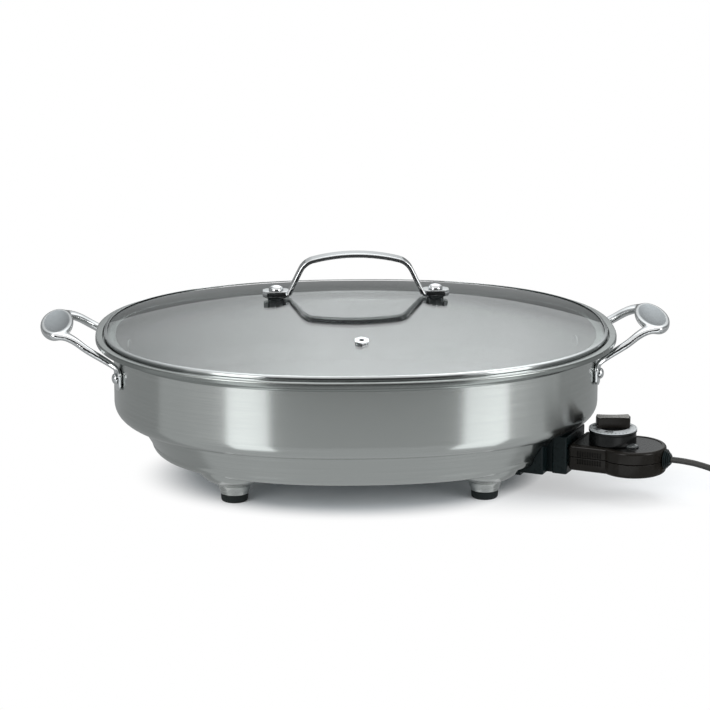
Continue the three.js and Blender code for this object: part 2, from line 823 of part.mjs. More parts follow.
function terminalBlock() {
  const [from, to] = [blockBack - overrun, blockBack + blockThick + overrun];
  const block = box(blockBack, blockBack + blockThick, -blockHalfWide, blockHalfWide,
    terminalZ - blockHalfTall, terminalZ + blockHalfTall);
  const pinHoles = pinEnds
    .map(([side]) => holeAlongX(pinRadius + gap, from, to, side * pinSpan / 2, terminalZ));
  return cut(block, ...pinHoles, holeAlongX(probeRadius + 2 * gap, from, to, 0, terminalZ));
}

add(socket, 'terminal_block', terminalBlock(), 'ceramic');

const wellBlock = box(wellFar, wellNear, -wellHalfWide, wellHalfWide, wellBottom, panFloorBottom - gap);
const wellBore = holeAlongX(probeRadius + gap, probeTip - gap, wellNear + overrun, 0, terminalZ);
add(socket, 'probe_well', cut(wellBlock, wellBore), 'aluminium');

// The outside of the skirt and of the shell, filled and stood off by the clearance
const skirtFill = oval([[0, skirtBottom - gap], ...skirtWallOutside(gap), [0, skirtTop]])
  .applyMatrix4(intoSocket);
const shellFill = oval([
  [0, shellBottom - gap], ...quarter([bellyEndHalf, shellBottom - gap], [shellHalf + gap, bellyTop], false),
  [shellHalf + gap, panSeamTop], [0, panSeamTop],
]).applyMatrix4(intoSocket);

function guard() {
  const half = [
    [guardBack, guardHalfWide], [guardStep - guardChamfer, guardHalfWide],
    [guardStep, guardHalfWide - guardChamfer], [guardStep, guardNeckHalf],
    [guardNeckEnd, guardNeckHalf], [guardNeckEnd, guardMouthHalf - guardChamfer],
    [guardNeckEnd + guardChamfer, guardMouthHalf], [guardFront - guardChamfer, guardMouthHalf],
    [guardFront, guardMouthHalf - guardChamfer],
  ];
  const plan = outline([...half.map(([x, y]) => [x, -y]), ...half.reverse()]);
  const toe = box(guardBack, guardBack + guardToeLong, -guardHalfWide, guardHalfWide,
    guardBottom - guardToeDrop, guardBottom + guardToeDrop);
  const bosses = atFeet(bossOutside(gap)).map((boss) => boss.applyMatrix4(intoSocket));
  return cut(joined(slab(plan, guardBottom, guardTop), toe), skirtFill, shellFill, window, ...bosses);
}

add(socket, 'socket_guard', guard(), 'phenolic');

// Control housing: a base tray and a cover that meet at the seam

function housingPlan(inset) {
  const radius = headRadius - inset;
  const half = housingNeckHalf - inset;
  const meet = Math.asin(half / radius);
  const plan = new THREE.Shape();
  plan.moveTo(housingBack + inset, half);
  plan.lineTo(housingBack + inset, -half);
  plan.lineTo(headX - radius * Math.cos(meet), -half);
  plan.absarc(headX, 0, radius, Math.PI + meet, Math.PI - meet, false);
  return plan;
}

const noseHole = box(housingBack - overrun, housingBack + 2 * housingWall,
  -noseHalfWide - gap, noseHalfWide + gap, noseBottom - gap, noseTop + gap);
const bootHole = alongX(rod(bootCore + gap, headX, bootEnd, bootSides)).translate(0, 0, cordZ);

function atDial(geometry) {
  return geometry.translate(dialX, 0, 0);
}

function controlBase() {
  const floor = housingBottom + housingWall;
  const outside = slab(housingPlan(0), housingBottom, housingSeam + housingRound, housingRound, 10);
  const inside = slab(housingPlan(housingWall), floor, housingSeam + 2 * overrun, 0, 10);
  const above = box(housingBack - overrun, bootEnd, -2 * headRadius, 2 * headRadius,
    housingSeam, housingSeam + overrun);
  const lampPost = rod(lampPostRadius, floor - housingWall / 2, lampPostTop, 10).translate(lampX, lampY, 0);
  const screwPath = rod(caseBossHole, housingBottom - overrun, housingSeam + overrun, 10)
    .translate(caseScrewX, 0, 0);
  const tray = cut(outside, inside, above, noseHole, bootHole, screwPath);
  return joined(tray, lampPost);
}

add(control, 'control_base', controlBase(), 'housing');

function controlCover() {
  const seam = housingSeam + gap;
  const ceiling = housingTop - housingWall;
  const outside = slab(housingPlan(0), housingSeam - 2 * housingRound, housingTop, housingRound, 10);
  const inside = slab(housingPlan(housingWall), housingSeam - 2 * overrun, ceiling, 0, 10);
  const below = box(housingBack - overrun, bootEnd, -2 * headRadius, 2 * headRadius,
    housingSeam - 2 * overrun, seam);
  const bossTop = housingTop + dialBossTall;
  const dialBoss = atDial(rod(dialBossRadius, housingTop - housingWall / 2, bossTop, dialSides));
  const shaftHole = atDial(rod(shaftRadius + gap, ceiling - overrun, bossTop + overrun, 12));
  const screwBoss = rod(caseBossRadius, seam, ceiling + housingWall / 2, 10).translate(caseScrewX, 0, 0);
  const screwBore = rod(caseBossHole, seam - overrun, ceiling, 10).translate(caseScrewX, 0, 0);
  const lensHole = rod(lensStem + gap, ceiling - overrun, housingTop + overrun, 12)
    .translate(lampX, lampY, 0);
  const shell = cut(outside, inside, below, noseHole, bootHole);
  return cut(joined(shell, dialBoss, screwBoss), shaftHole, screwBore, lensHole);
}

add(control, 'control_cover', controlCover(), 'housing');

const caseHeadTop = housingBottom - gap;
const caseHeadUnder = caseHeadTop - housingWall / 2;
const caseScrewTip = housingTop - 2 * housingWall;
add(control, 'control_screw', turned([
  [0, caseHeadUnder], [caseScrewHead, caseHeadUnder], [caseScrewHead, caseHeadTop],
  [caseScrewRadius, caseHeadTop], [caseScrewRadius, caseScrewTip], [0, caseScrewTip],
], 10), 'satin').position.set(caseScrewX, 0, 0);

// Contacts and probe, which reach into the guard

function contactBlock() {
  const [from, to] = [noseBack - overrun, noseEnd + overrun];
  const block = box(noseBack, noseEnd, -noseHalfWide, noseHalfWide, noseBottom, noseTop);
  const bores = pinEnds
    .map(([side]) => holeAlongX(sleeveOuter + gap, from, to, side * pinSpan / 2, terminalZ));
  return cut(block, ...bores, holeAlongX(probeRadius + gap, from, to, 0, terminalZ));
}

add(control, 'contact_block', contactBlock(), 'phenolic');
const contactSleeve = alongX(tube(sleeveOuter, sleeveInner, 0, noseEnd, 12));
for (const [side, name] of pinEnds) {
  add(control, `contact_sleeve_${name}`, contactSleeve, 'brass')
    .position.set(0, side * pinSpan / 2, terminalZ);
}
add(control, 'probe_rod', alongX(turned([
  ...quarter([0, probeTip], [probeRadius, probeTip + probeRadius], false, 4), [probeRadius, probeRoot],
  [0, probeRoot],
], 12)).translate(0, 0, terminalZ), 'chrome');

// Thermostat strip on its post, indicator lamp and its lens

const floorSeat = housingBottom + housingWall + gap;
const stripFrom = dialX - stripLong * 3 / 4;
add(control, 'thermostat_strip', joined(
  box(stripFrom, stripFrom + stripPostLong, -stripWide / 2, stripWide / 2, floorSeat, stripZ),
  box(stripFrom, stripFrom + stripLong, -stripWide / 2, stripWide / 2,
    stripZ - stripThick / 2, stripZ + stripThick / 2),
), 'brass');

const lensSeat = housingTop + gap;
const lampBottom = lampPostTop + gap;
const lampTop = housingTop - housingWall - gap;
add(control, 'indicator_lamp', turned([
  [0, lampBottom], [lampRadius, lampBottom],
  ...quarter([lampRadius, lampTop - lampRadius], [0, lampTop], true, 3),
], 10).translate(lampX, lampY, 0), 'lens');
add(control, 'indicator_lens', turned([
  [0, housingTop - housingWall], [lensStem, housingTop - housingWall], [lensStem, lensSeat],
  [lensRadius, lensSeat], ...quarter([lensRadius, lensSeat + gap], [0, lensSeat + lensTall], true, 3),
], 12).translate(lampX, lampY, 0), 'lens');

// Dial

const dial = group(control);
dial.position.set(dialX, 0, 0);
const dialBottom = housingTop + dialBossTall + dialGap;
const dialTop = dialBottom + dialBaseTall;
const shaftTop = dialTop - dialGap;

add(dial, 'dial_base', cut(
  joined(
    turned([[0, dialBottom], [dialRadius - dialGap, dialBottom], [dialRadius, dialTop], [0, dialTop]],
      dialSides),
    rod(dialHubRadius, dialBottom, dialTop + dialHubTall, dialSides),
  ),
  rod(shaftRadius + gap / 2, dialBottom - overrun, shaftTop + gap / 2, 12),
), 'phenolic');
add(dial, 'dial_ring', turned(ring([
  [dialRingInner, dialTop + gap], [dialRadius, dialTop + gap], [dialRadius, dialTop + gap + dialRingTall / 2],
  [dialRingInner, dialTop + gap + dialRingTall],
]), dialSides), 'satin');

function gripBar() {
  const from = dialTop + dialHubTall + gap;
  const plan = new THREE.Shape();
  const [long, wide, waist] = [gripBarLong / 2, gripBarWide / 2, gripBarWaist / 2];
  plan.moveTo(-long, -wide);
  plan.quadraticCurveTo(0, -waist, long, -wide);
  plan.quadraticCurveTo(long + (wide - waist), 0, long, wide);
  plan.quadraticCurveTo(0, waist, -long, wide);
  plan.quadraticCurveTo(-long - (wide - waist), 0, -long, -wide);
  return slab(plan, from, from + gripBarTall, housingRound / 2, 6);
}

add(dial, 'dial_grip', gripBar(), 'housing').rotation.z = gripBarTurn;
add(dial, 'dial_shaft', turned([
  [0, camZ], [camRadius, camZ], [camRadius, camZ + camTall], [shaftRadius, camZ + camTall],
  [shaftRadius, shaftTop], [0, shaftTop],
], 12), 'satin');

// Boot of the cord: faceted, with two ribs, drawn in towards the cord

const bootStart = headX + headRadius + gap;
const bootStep = (bootEnd - bootStart) / 4;
// Width at each quarter of the boot's length, as shares of the way from the tip to the flange
const bootRib_shares = [1, 0.9, 0.62, 0.34];

function boot() {
  const ribs = bootRib_shares.flatMap((share, i) => {
    const radius = bootTip + share * (bootFlange - bootTip);
    const from = bootStart + i * bootStep;
    const groove = Math.min(bootGroove, radius - gap);
    const to = from + bootStep / 2;
    return [[radius, from], [radius - gap, to], [groove, to], [groove, from + bootStep]];
  });
  const root = [[0, bootRoot], [bootCore, bootRoot], [bootCore, bootStart]];
  return turned([...root, ...ribs, [bootTip, bootEnd], [0, bootEnd]], bootSides);
}

add(control, 'strain_relief', alongX(boot()).translate(0, 0, cordZ), 'phenolic');

// Cord: the free lead, then the coil

const leadPoints = cordRoute.map(([x, y, z]) => new THREE.Vector3(x, y, z).applyMatrix4(socketFrame));
const lead = new THREE.CatmullRomCurve3(leadPoints, false, 'centripetal');
const cordPieces = group(skillet);
add(cordPieces, 'cord_lead', wire(lead, cordRadius, 8, 24), 'cable');

const coilStart = leadPoints[leadPoints.length - 1].clone();
const coilHeading = lead.getTangentAt(1);
const headingAngle = Math.atan2(coilHeading.y, coilHeading.x);
const spiralReach = coilPitch * coilTurns / 2;
const coilOuter = coilMeanRadius + spiralReach / 2;
const levelHeading = new THREE.Vector3(Math.cos(headingAngle), Math.sin(headingAngle), 0);
const coilIn = coilStart.clone().addScaledVector(levelHeading, gap + 2 * cordRadius);
const coilCentre = new THREE.Vector3(coilIn.x - coilOuter * Math.sin(headingAngle),
  coilIn.y + coilOuter * Math.cos(headingAngle), coilStart.z);

// A point of the coil after a number of turns: in at a steady rate, up a layer in half a turn, and out again
function coilPoint(turns) {
  const fromMiddle = turns - coilTurns / 2;
  const radius = coilOuter - spiralReach + Math.abs(fromMiddle) * coilPitch;
  const climb = THREE.MathUtils.smoothstep(fromMiddle, -0.25, 0.25);
  const angle = headingAngle - Math.PI / 2 + 2 * Math.PI * turns;
  return new THREE.Vector3(coilCentre.x + radius * Math.cos(angle), coilCentre.y + radius * Math.sin(angle),
    coilCentre.z + climb * coilPitch);
}

function coilPath() {
  const steps = Math.round(coilTurns * coilStepsPerTurn);
  const turning = Array.from({ length: steps + 1 }, (_, i) => coilPoint(coilTurns * i / steps));
  const tail = turning[steps].clone().sub(turning[steps - 1]).setZ(0).normalize();
  const out = turning[steps].clone().addScaledVector(tail, 2 * cordRadius);
  const into = coilStart.clone().addScaledVector(turning[0].clone().sub(coilStart).normalize(), gap);
  return [into, ...turning, out];
}

function coilTube(path) {
  const up = new THREE.Vector3(0, 0, 1);
  const rings = path.map((point, i) => {
    const before = path[Math.max(0, i - 1)];
    const after = path[Math.min(path.length - 1, i + 1)];
    const along = after.clone().sub(before).normalize();
    const across = new THREE.Vector3().crossVectors(up, along).normalize();
    const top = new THREE.Vector3().crossVectors(along, across);
    return Array.from({ length: coilSides }, (_, k) => {
      const turn = 2 * Math.PI * k / coilSides;
      return point.clone().addScaledVector(across, cordRadius * Math.cos(turn))
        .addScaledVector(top, cordRadius * Math.sin(turn));
    });
  });
  return lofted(rings);
}

// The least gap between stretches of the coil that are at least a quarter turn apart along the cord
function leastGap(path) {
  let least = Infinity;
  const apart = Math.round(coilStepsPerTurn / 4);
  for (let i = 0; i < path.length; i += 1) {
    for (let k = i + apart; k < path.length; k += 1) {
      least = Math.min(least, path[i].distanceTo(path[k]) - 2 * cordRadius);
    }
  }
  return least;
}

const coilLine = coilPath();
console.log(`least gap of the coil to itself: ${leastGap(coilLine).toFixed(2)} mm`);
add(cordPieces, 'cord_coil', closed(coilTube(coilLine)), 'cable');

// Tie: a flat loop round the bundle of turns

function tie() {
  const [inner, outer] = [coilOuter - spiralReach - cordRadius - gap, coilOuter + cordRadius + gap];
  const [low, high] = [coilCentre.z - cordRadius - gap, coilCentre.z + coilPitch + cordRadius + gap];
  const band = box(inner - tieThick, outer + tieThick, -tieWide / 2, tieWide / 2,
    low - tieThick, high + tieThick);
  const hollow = box(inner, outer, -tieWide, tieWide, low, high);
  return cut(band, hollow).rotateZ(tieAngle).translate(coilCentre.x, coilCentre.y, 0);
}

add(cordPieces, 'coil_tie', tie(), 'rubber');

// Plug: its boot, its body and two flat blades

const plugEnd = coilLine[coilLine.length - 1];
const plugAlong = plugEnd.clone().sub(coilLine[coilLine.length - 2]);
const plug = group(cordPieces);
plug.position.copy(plugEnd);
plug.rotation.z = Math.atan2(plugAlong.y, plugAlong.x);

function blade(side, grow) {
  const y = side * bladeSpan / 2;
  const face = gap + plugBoot + plugLong;
  return box(face - bladeRoot - grow, face + bladeLong, y - bladeThick / 2 - grow, y + bladeThick / 2 + grow,
    -bladeWide / 2 - grow, bladeWide / 2 + grow);
}

function plugBody() {
  const neck = gap + plugBoot;
  const half = plugTall / 2;
  const plan = new THREE.Shape();
  plan.moveTo(neck, -plugNeckHalf);
  plan.quadraticCurveTo(neck + plugLong / 3, -plugNeckHalf, neck + plugLong / 2, -plugHalfWide);
  plan.lineTo(neck + plugLong, -plugHalfWide);
  plan.lineTo(neck + plugLong, plugHalfWide);
  plan.lineTo(neck + plugLong / 2, plugHalfWide);
  plan.quadraticCurveTo(neck + plugLong / 3, plugNeckHalf, neck, plugNeckHalf);
  const sleeve = alongX(turned([
    [0, gap], [cordRadius + gap, gap], [plugNeckHalf, neck], [plugNeckHalf, neck + plugLong / 4],
    [0, neck + plugLong / 4],
  ], 12));
  return cut(joined(slab(plan, -half, half, housingRound, 6), sleeve), blade(-1, gap), blade(1, gap));
}

add(plug, 'plug_body', plugBody(), 'phenolic');
add(plug, 'plug_blade_left', blade(-1, 0), 'brass');
add(plug, 'plug_blade_right', blade(1, 0), 'brass');

// Lid: glass, steel band, handle with its screws, and the vent

function glassTop(half) {
  return glassEdgeTop + glassCrown * (1 - (half / glassHalf) ** 2);
}

const glassRings_share = [0, 0.3, 0.55, 0.75, 0.9, 1];

function glassProfile(lift, thick) {
  const top = glassRings_share.map((share) => [share * glassHalf, glassTop(share * glassHalf) + lift]);
  return [...top.map(([half, z]) => [half, z - thick - 2 * lift]), ...top.reverse()];
}

const lidScrewX = lidScrewSpan / 2;
const ventOut = ventDepth_share * ovalDepth(glassHalf);
const ventSeat = ovalHalfAtY(ventOut);
const ventZ = glassTop(ventSeat);
const ventLean = Math.atan((glassTop(ventSeat) - glassTop(ventSeat + gap)) / gap);

// The half-length of the oval that crosses the middle line at a given depth
function ovalHalfAtY(depth) {
  let half = depth;
  for (let i = 0; i < 30; i += 1) {
    half += depth - ovalDepth(half);
  }
  return half;
}

function atVent(geometry) {
  return geometry.rotateX(ventLean).translate(0, -ventOut, ventZ);
}

function glass() {
  const screwHoles = [-1, 1].map((side) => rod(glassHole, glassEdgeTop - glassThick, archTop, 14)
    .translate(side * lidScrewX, 0, 0));
  const ventHole = atVent(rod(ventNeck + gap, -glassThick - overrun, overrun, 14));
  return cut(oval(glassProfile(0, glassThick)), ...screwHoles, ventHole);
}

add(lid, 'lid_glass', glass(), 'glass');

const rimOuter = ledgeHalf - panLipRound - rimSide;
const rimInner = glassHalf - rimLap;
const rimBottom = ledgeTop + gap;

add(lid, 'lid_rim', oval(ring([
  [rimInner, rimBottom], [rimOuter, rimBottom], [rimOuter, glassEdgeTop - gap],
  [glassHalf, glassEdgeTop + gap + rimWall],
  [rimInner, glassTop(rimInner) + gap + rimWall], [rimInner, glassTop(rimInner) + gap],
  [glassHalf + gap, glassEdgeTop + gap], [glassHalf + gap, rimBottom + rimWall], [rimInner, rimBottom + rimWall],
])), 'chrome');

const tabUnder = glassTop(lidScrewX) + lidTabLift;
const tabOver = tabUnder + lidTabThick;

// The crown ends where the corner and the straight leg below it lead to the foot of the arch
const archFootX = lidScrewX - archFootInset;
const archFootZ = tabUnder + lidTabThick / 2;
const legShare = (Math.sin(archLean) * archFootX + Math.cos(archLean) * (archFootZ - archTop + archCrownRadius)
  - archCornerRadius) / (archCrownRadius - archCornerRadius);
const archCrownAngle = archLean - Math.acos(legShare);

// The arch from the middle of its top down to its foot, drawn in by an inset, as [x, z]
function archSide(inset) {
  const points = [];
  const arc = (centreX, centreZ, radius, from, to, steps) => {
    for (let i = 0; i <= steps; i += 1) {
      const lean = from + (to - from) * i / steps;
      points.push([centreX + (radius - inset) * Math.sin(lean), centreZ + (radius - inset) * Math.cos(lean)]);
    }
  };
  const inward = archCrownRadius - archCornerRadius;
  const cornerX = inward * Math.sin(archCrownAngle);
  const cornerZ = archTop - archCrownRadius + inward * Math.cos(archCrownAngle);
  arc(0, archTop - archCrownRadius, archCrownRadius, 0, archCrownAngle, 2);
  arc(cornerX, cornerZ, archCornerRadius, archCrownAngle, archLean, 4);
  const [x, z] = points[points.length - 1];
  points.push([x + (z - archFootZ) / Math.tan(archLean), archFootZ]);
  return points;
}

function lidHandle() {
  const mirrored = (points) => points.slice(1).map(([x, z]) => [-x, z]).reverse();
  const outer = archSide(0);
  const inner = archSide(archThick);
  const under = mirrored(inner).reverse();
  const bow = outline([...mirrored(outer), ...outer, ...inner.reverse(), ...under]);
  const arch = slab(bow, -archWide / 2, archWide / 2, archEdge, 1).rotateX(Math.PI / 2);
  const [long, wide] = [lidTabLong / 2, lidTabWide / 2];
  const tabPlan = outline([
    [-long + lidTabChamfer, -wide], [long - lidTabChamfer, -wide], [long, -wide + lidTabChamfer],
    [long, wide - lidTabChamfer], [long - lidTabChamfer, wide], [-long + lidTabChamfer, wide],
    [-long, wide - lidTabChamfer], [-long, -wide + lidTabChamfer],
  ]);
  const tabs = [-1, 1].map((side) => slab(tabPlan, tabUnder, tabOver, archEdge / 2, 1)
    .translate(side * lidScrewX, 0, 0));
  const holes = [-1, 1].map((side) => rod(lidScrewRadius + gap, tabUnder - overrun, tabOver + overrun, 12)
    .translate(side * lidScrewX, 0, 0));
  return cut(joined(arch, ...tabs), ...holes);
}

add(lid, 'lid_handle', lidHandle(), 'chrome');

const glassRaised = oval(glassProfile(gap, glassThick));
const glassUnder = glassTop(lidScrewX) - glassThick;
const nutUpper = glassUnder - glassThick / 2;
const lidScrew = turned([
  [0, nutUpper - lidNutTall], [lidScrewRadius, nutUpper - lidNutTall], [lidScrewRadius, tabOver + gap],
  ...quarter([lidScrewHeadRadius, tabOver + gap], [0, tabOver + gap + lidScrewHeadTall], true, 4),
], 12);
const gasket = tube(gasketRadius, lidScrewRadius + gap, tabUnder - gap - 2 * gasketThick, tabUnder - gap, 12);
const lidNut = cut(rod(lidNutRadius, nutUpper - lidNutTall, glassUnder + gap, 6),
  rod(lidScrewRadius + gap, nutUpper - lidNutTall - overrun, glassUnder + overrun, 12));

for (const [side, name] of [[-1, 'left'], [1, 'right']]) {
  const x = side * lidScrewX;
  add(lid, `lid_screw_${name}`, lidScrew, 'chrome').position.set(x, 0, 0);
  add(lid, `lid_gasket_${name}`, cut(gasket.clone().translate(x, 0, 0), glassRaised), 'rubber');
  add(lid, `lid_nut_${name}`, cut(lidNut.clone().translate(x, 0, 0), glassRaised), 'satin');
}

// Vent eyelet: a six-sided flange over the glass, a neck through it and a turned-out foot

function eyelet() {
  const under = -glassThick - 2 * gap;
  const flange = rod(ventFlange, gap, gap + ventFlangeThick, 6);
  const neck = rod(ventNeck, under - ventFlangeThick / 2, gap + ventFlangeThick / 2, 14);
  const foot = rod(ventNeck + 2 * gap, under - ventFlangeThick, under, 14);
  return cut(joined(flange, neck, foot), rod(ventBore, under - overrun, overrun, 14));
}

add(lid, 'vent_grommet', atVent(eyelet()), 'chrome');

export default skillet;
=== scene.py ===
"""An oval electric skillet: spun and drawn steel body, cast handles, domed glass lid, plug-in control and cord.

Metres, +Z up, in the CAD's frame. Sizes in each section are in millimetres and go through MM.
"""

import math

import bmesh
import bpy
from mathutils import Matrix, Vector
from mathutils.geometry import interpolate_bezier


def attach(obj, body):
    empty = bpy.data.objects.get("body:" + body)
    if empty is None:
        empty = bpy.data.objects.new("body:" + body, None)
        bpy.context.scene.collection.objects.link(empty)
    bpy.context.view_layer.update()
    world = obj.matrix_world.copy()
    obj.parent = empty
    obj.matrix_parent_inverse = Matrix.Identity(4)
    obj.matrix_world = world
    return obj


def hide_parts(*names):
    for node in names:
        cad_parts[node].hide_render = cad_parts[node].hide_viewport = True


MM = 0.001
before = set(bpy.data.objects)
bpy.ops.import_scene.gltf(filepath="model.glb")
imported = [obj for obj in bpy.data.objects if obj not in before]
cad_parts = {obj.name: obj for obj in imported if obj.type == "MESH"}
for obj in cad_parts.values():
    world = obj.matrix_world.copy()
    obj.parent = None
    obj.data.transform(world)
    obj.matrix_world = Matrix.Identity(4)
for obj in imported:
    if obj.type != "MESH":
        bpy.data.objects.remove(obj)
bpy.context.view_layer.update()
scene = bpy.context.scene
scene.view_settings.view_transform = "Standard"

# Camera: a long lens from a little above and left of the front, as a catalogue picture is taken. Its place, aim
# and length are matched to the outlines in the photograph.

camera_data = bpy.data.cameras.new("camera")
camera_data.sensor_width = 36
camera_data.lens = 151.83
camera = bpy.data.objects.new("camera", camera_data)
camera.location = (-0.1025, -2.31992, 0.70353)
aim = Vector((-0.0006, 0.00003, 0.09735))
camera.rotation_euler = (aim - camera.location).to_track_quat("-Z", "Y").to_euler()
scene.collection.objects.link(camera)
scene.camera = camera

# Cord: three cores in a round black PVC jacket, moulded to its boot and its plug. It leaves the control level,
# sinks to the counter, and the rest is wound in a neat coil held by a tie.


def rgb(code):
    """An sRGB hex colour as linear RGBA."""
    parts = [int(code[i:i + 2], 16) / 255 for i in (1, 3, 5)]
    return [c / 12.92 if c <= 0.04045 else ((c + 0.055) / 1.055) ** 2.4 for c in parts] + [1.0]


def add_node(tree, kind, inputs, **settings):
    """A node with its settings, and each input set to a value or linked from a socket."""
    made = tree.nodes.new(kind)
    for name, value in settings.items():
        setattr(made, name, value)
    for name, value in inputs.items():
        if isinstance(value, bpy.types.NodeSocket):
            tree.links.new(value, made.inputs[name])
        else:
            made.inputs[name].default_value = value
    return made


MOST_OF_NOISE = 0.3, 0.7


def surface(name, dark, light, metallic, roughness, grain, relief=0, detail=3.0, **fixed):
    """A material whose colour and relief follow one noise, and its roughness too where that is a pair. grain is
    the noise's size along X, Y and Z and relief its height, in mm."""
    made = bpy.data.materials.new(name)
    made.use_nodes = True
    tree = made.node_tree
    shader = tree.nodes["Principled BSDF"]
    place = add_node(tree, "ShaderNodeTexCoord", {})
    sized = add_node(tree, "ShaderNodeMapping",
                     {"Vector": place.outputs["Object"], "Scale": [1 / (size * MM) for size in grain]})
    noise = add_node(tree, "ShaderNodeTexNoise",
                     {"Vector": sized.outputs[0], "Scale": 1.0, "Detail": detail, "Roughness": 0.6})
    tint = add_node(tree, "ShaderNodeValToRGB", {"Fac": noise.outputs[0]})
    for stop, position, code in zip(tint.color_ramp.elements, MOST_OF_NOISE, (dark, light)):
        stop.position = position
        stop.color = rgb(code)
    tree.links.new(tint.outputs[0], shader.inputs["Base Color"])
    shader.inputs["Metallic"].default_value = metallic
    if isinstance(roughness, tuple):
        shine = add_node(tree, "ShaderNodeMapRange", {
            "Value": noise.outputs[0], "From Min": MOST_OF_NOISE[0], "From Max": MOST_OF_NOISE[1],
            "To Min": roughness[0], "To Max": roughness[1]})
        tree.links.new(shine.outputs[0], shader.inputs["Roughness"])
    else:
        shader.inputs["Roughness"].default_value = roughness
    if relief:
        bump = add_node(tree, "ShaderNodeBump",
                        {"Height": noise.outputs[0], "Distance": relief * MM, "Strength": 1.0})
        tree.links.new(bump.outputs[0], shader.inputs["Normal"])
    for socket, value in fixed.items():
        shader.inputs[socket.replace("_", " ")].default_value = value
    return made


def smooth_path(points, steps):
    """The points of an even curve through points, with a number of steps from each to the next."""
    path = []
    for i in range(len(points) - 1):
        before, here, there, after = (points[min(max(k, 0), len(points) - 1)] for k in (i - 1, i, i + 1, i + 2))
        handles = here + (there - before) / 6, there - (after - here) / 6
        path += interpolate_bezier(here, *handles, there, steps + 1)[:-1]
    return path + [points[-1]]


SOCKET_ANGLE = math.radians(-26)
socket_frame = Matrix.Translation((158.185 * MM, -57.665 * MM, 0)) @ Matrix.Rotation(SOCKET_ANGLE, 4, "Z")

CORD_RADIUS = 2.4
lead_route = [
    (92.7, 0, 36), (97.5, 0, 36), (102.3, 0, 35.9), (107, 0, 35.6), (111.6, 0, 35.2), (116, 0, 34.5),
    (120.5, 0, 33.7), (125, 0, 32.6), (131, -0.2, 30.6), (138, -0.6, 27.4), (145, -1, 23.2), (152, -1.5, 18.2),
    (159, -2, 13), (166, -2.4, 8.4), (172, -2.7, 5.3), (178, -2.9, 3.7), (184, -3, 3.3), (190, -3, 3.3),
]
lead = smooth_path([socket_frame @ (Vector(point) * MM) for point in lead_route], 4)

COIL_TURNS = 4 + 206 / 360
COIL_PITCH = 5.4
coil_reach = COIL_PITCH * COIL_TURNS / 2
coil_outer = 26 + coil_reach / 2
heading = Vector((math.cos(SOCKET_ANGLE), math.sin(SOCKET_ANGLE), 0))
coil_in = lead[-1] / MM + heading * (2 * CORD_RADIUS + 0.3)
coil_centre = coil_in + Vector((-heading.y, heading.x, 0)) * coil_outer


def coil_point(turns):
    """A point of the coil after a number of turns: it winds inwards, climbs a layer and winds out again."""
    from_middle = turns - COIL_TURNS / 2
    radius = coil_outer - coil_reach + abs(from_middle) * COIL_PITCH
    share = min(max(2 * from_middle + 0.5, 0), 1)
    angle = SOCKET_ANGLE - math.pi / 2 + 2 * math.pi * turns
    spoke = Vector((math.cos(angle), math.sin(angle), 0)) * radius
    return (coil_centre + spoke + Vector((0, 0, share * share * (3 - 2 * share) * COIL_PITCH))) * MM


coil_steps = round(COIL_TURNS * 36)
coil = [coil_point(COIL_TURNS * step / coil_steps) for step in range(coil_steps + 1)]
coil_out = (coil[-1] - coil[-2]).normalized()
cord_path = lead + coil + [coil[-1] + coil_out * 3 * CORD_RADIUS * MM]

cord_curve = bpy.data.curves.new("cord", "CURVE")
cord_curve.dimensions = "3D"
cord_curve.bevel_depth = CORD_RADIUS * MM
cord_curve.bevel_resolution = 5
cord_curve.use_fill_caps = True
cord_line = cord_curve.splines.new("POLY")
cord_line.points.add(len(cord_path) - 1)
for knot, point in zip(cord_line.points, cord_path):
    knot.co = (*point, 1)
cord_line.use_smooth = True
cord = bpy.data.objects.new("cord", cord_curve)
scene.collection.objects.link(cord)
# Extruded PVC: an even satin black, hardly clouded.
cord_curve.materials.append(surface(
    "pvc_jacket_extruded", "#232321", "#30302e", 0, (0.42, 0.55), (6, 6, 6), 0.02, Specular_IOR_Level=0.4))
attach(cord, "control")
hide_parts("cord_lead", "cord_coil")

# Cooking pan: cast aluminium, turned all over, with a broad polished lip whose ledge takes the lid. The inside
# is sprayed with a charcoal non-stick coating and cured.

OVAL_SIDES, OVAL_POWER = 192, 2.3
OVAL_NARROWING, OVAL_TURN = 42, 50


def quarter(start, end, upright, steps=8):
    """A quarter of an ellipse from one [radius, height] to another, leaving the first upright or level."""
    points = []
    for step in range(steps + 1):
        turn = step / steps * math.pi / 2
        across, up = (1 - math.cos(turn), math.sin(turn))[::1 if upright else -1]
        points.append((start[0] + (end[0] - start[0]) * across, start[1] + (end[1] - start[1]) * up))
    return points


def eased(corners, steps=4):
    """A closed outline of 2-D points in mm. A point's third number rounds that corner to that radius."""
    outline = []
    for i, (x, y, *radius) in enumerate(corners):
        here = Vector((x, y))
        if not radius:
            outline.append((x, y))
            continue
        back = (Vector(corners[i - 1][:2]) - here).normalized()
        on = (Vector(corners[(i + 1) % len(corners)][:2]) - here).normalized()
        half = back.angle(on) / 2
        reach = radius[0] / math.tan(half)
        centre = here + (back + on).normalized() * radius[0] / math.sin(half)
        first, last = (here + way * reach - centre for way in (back, on))
        outline += [tuple(centre + first.slerp(last, step / steps) * radius[0]) for step in range(steps + 1)]
    return outline


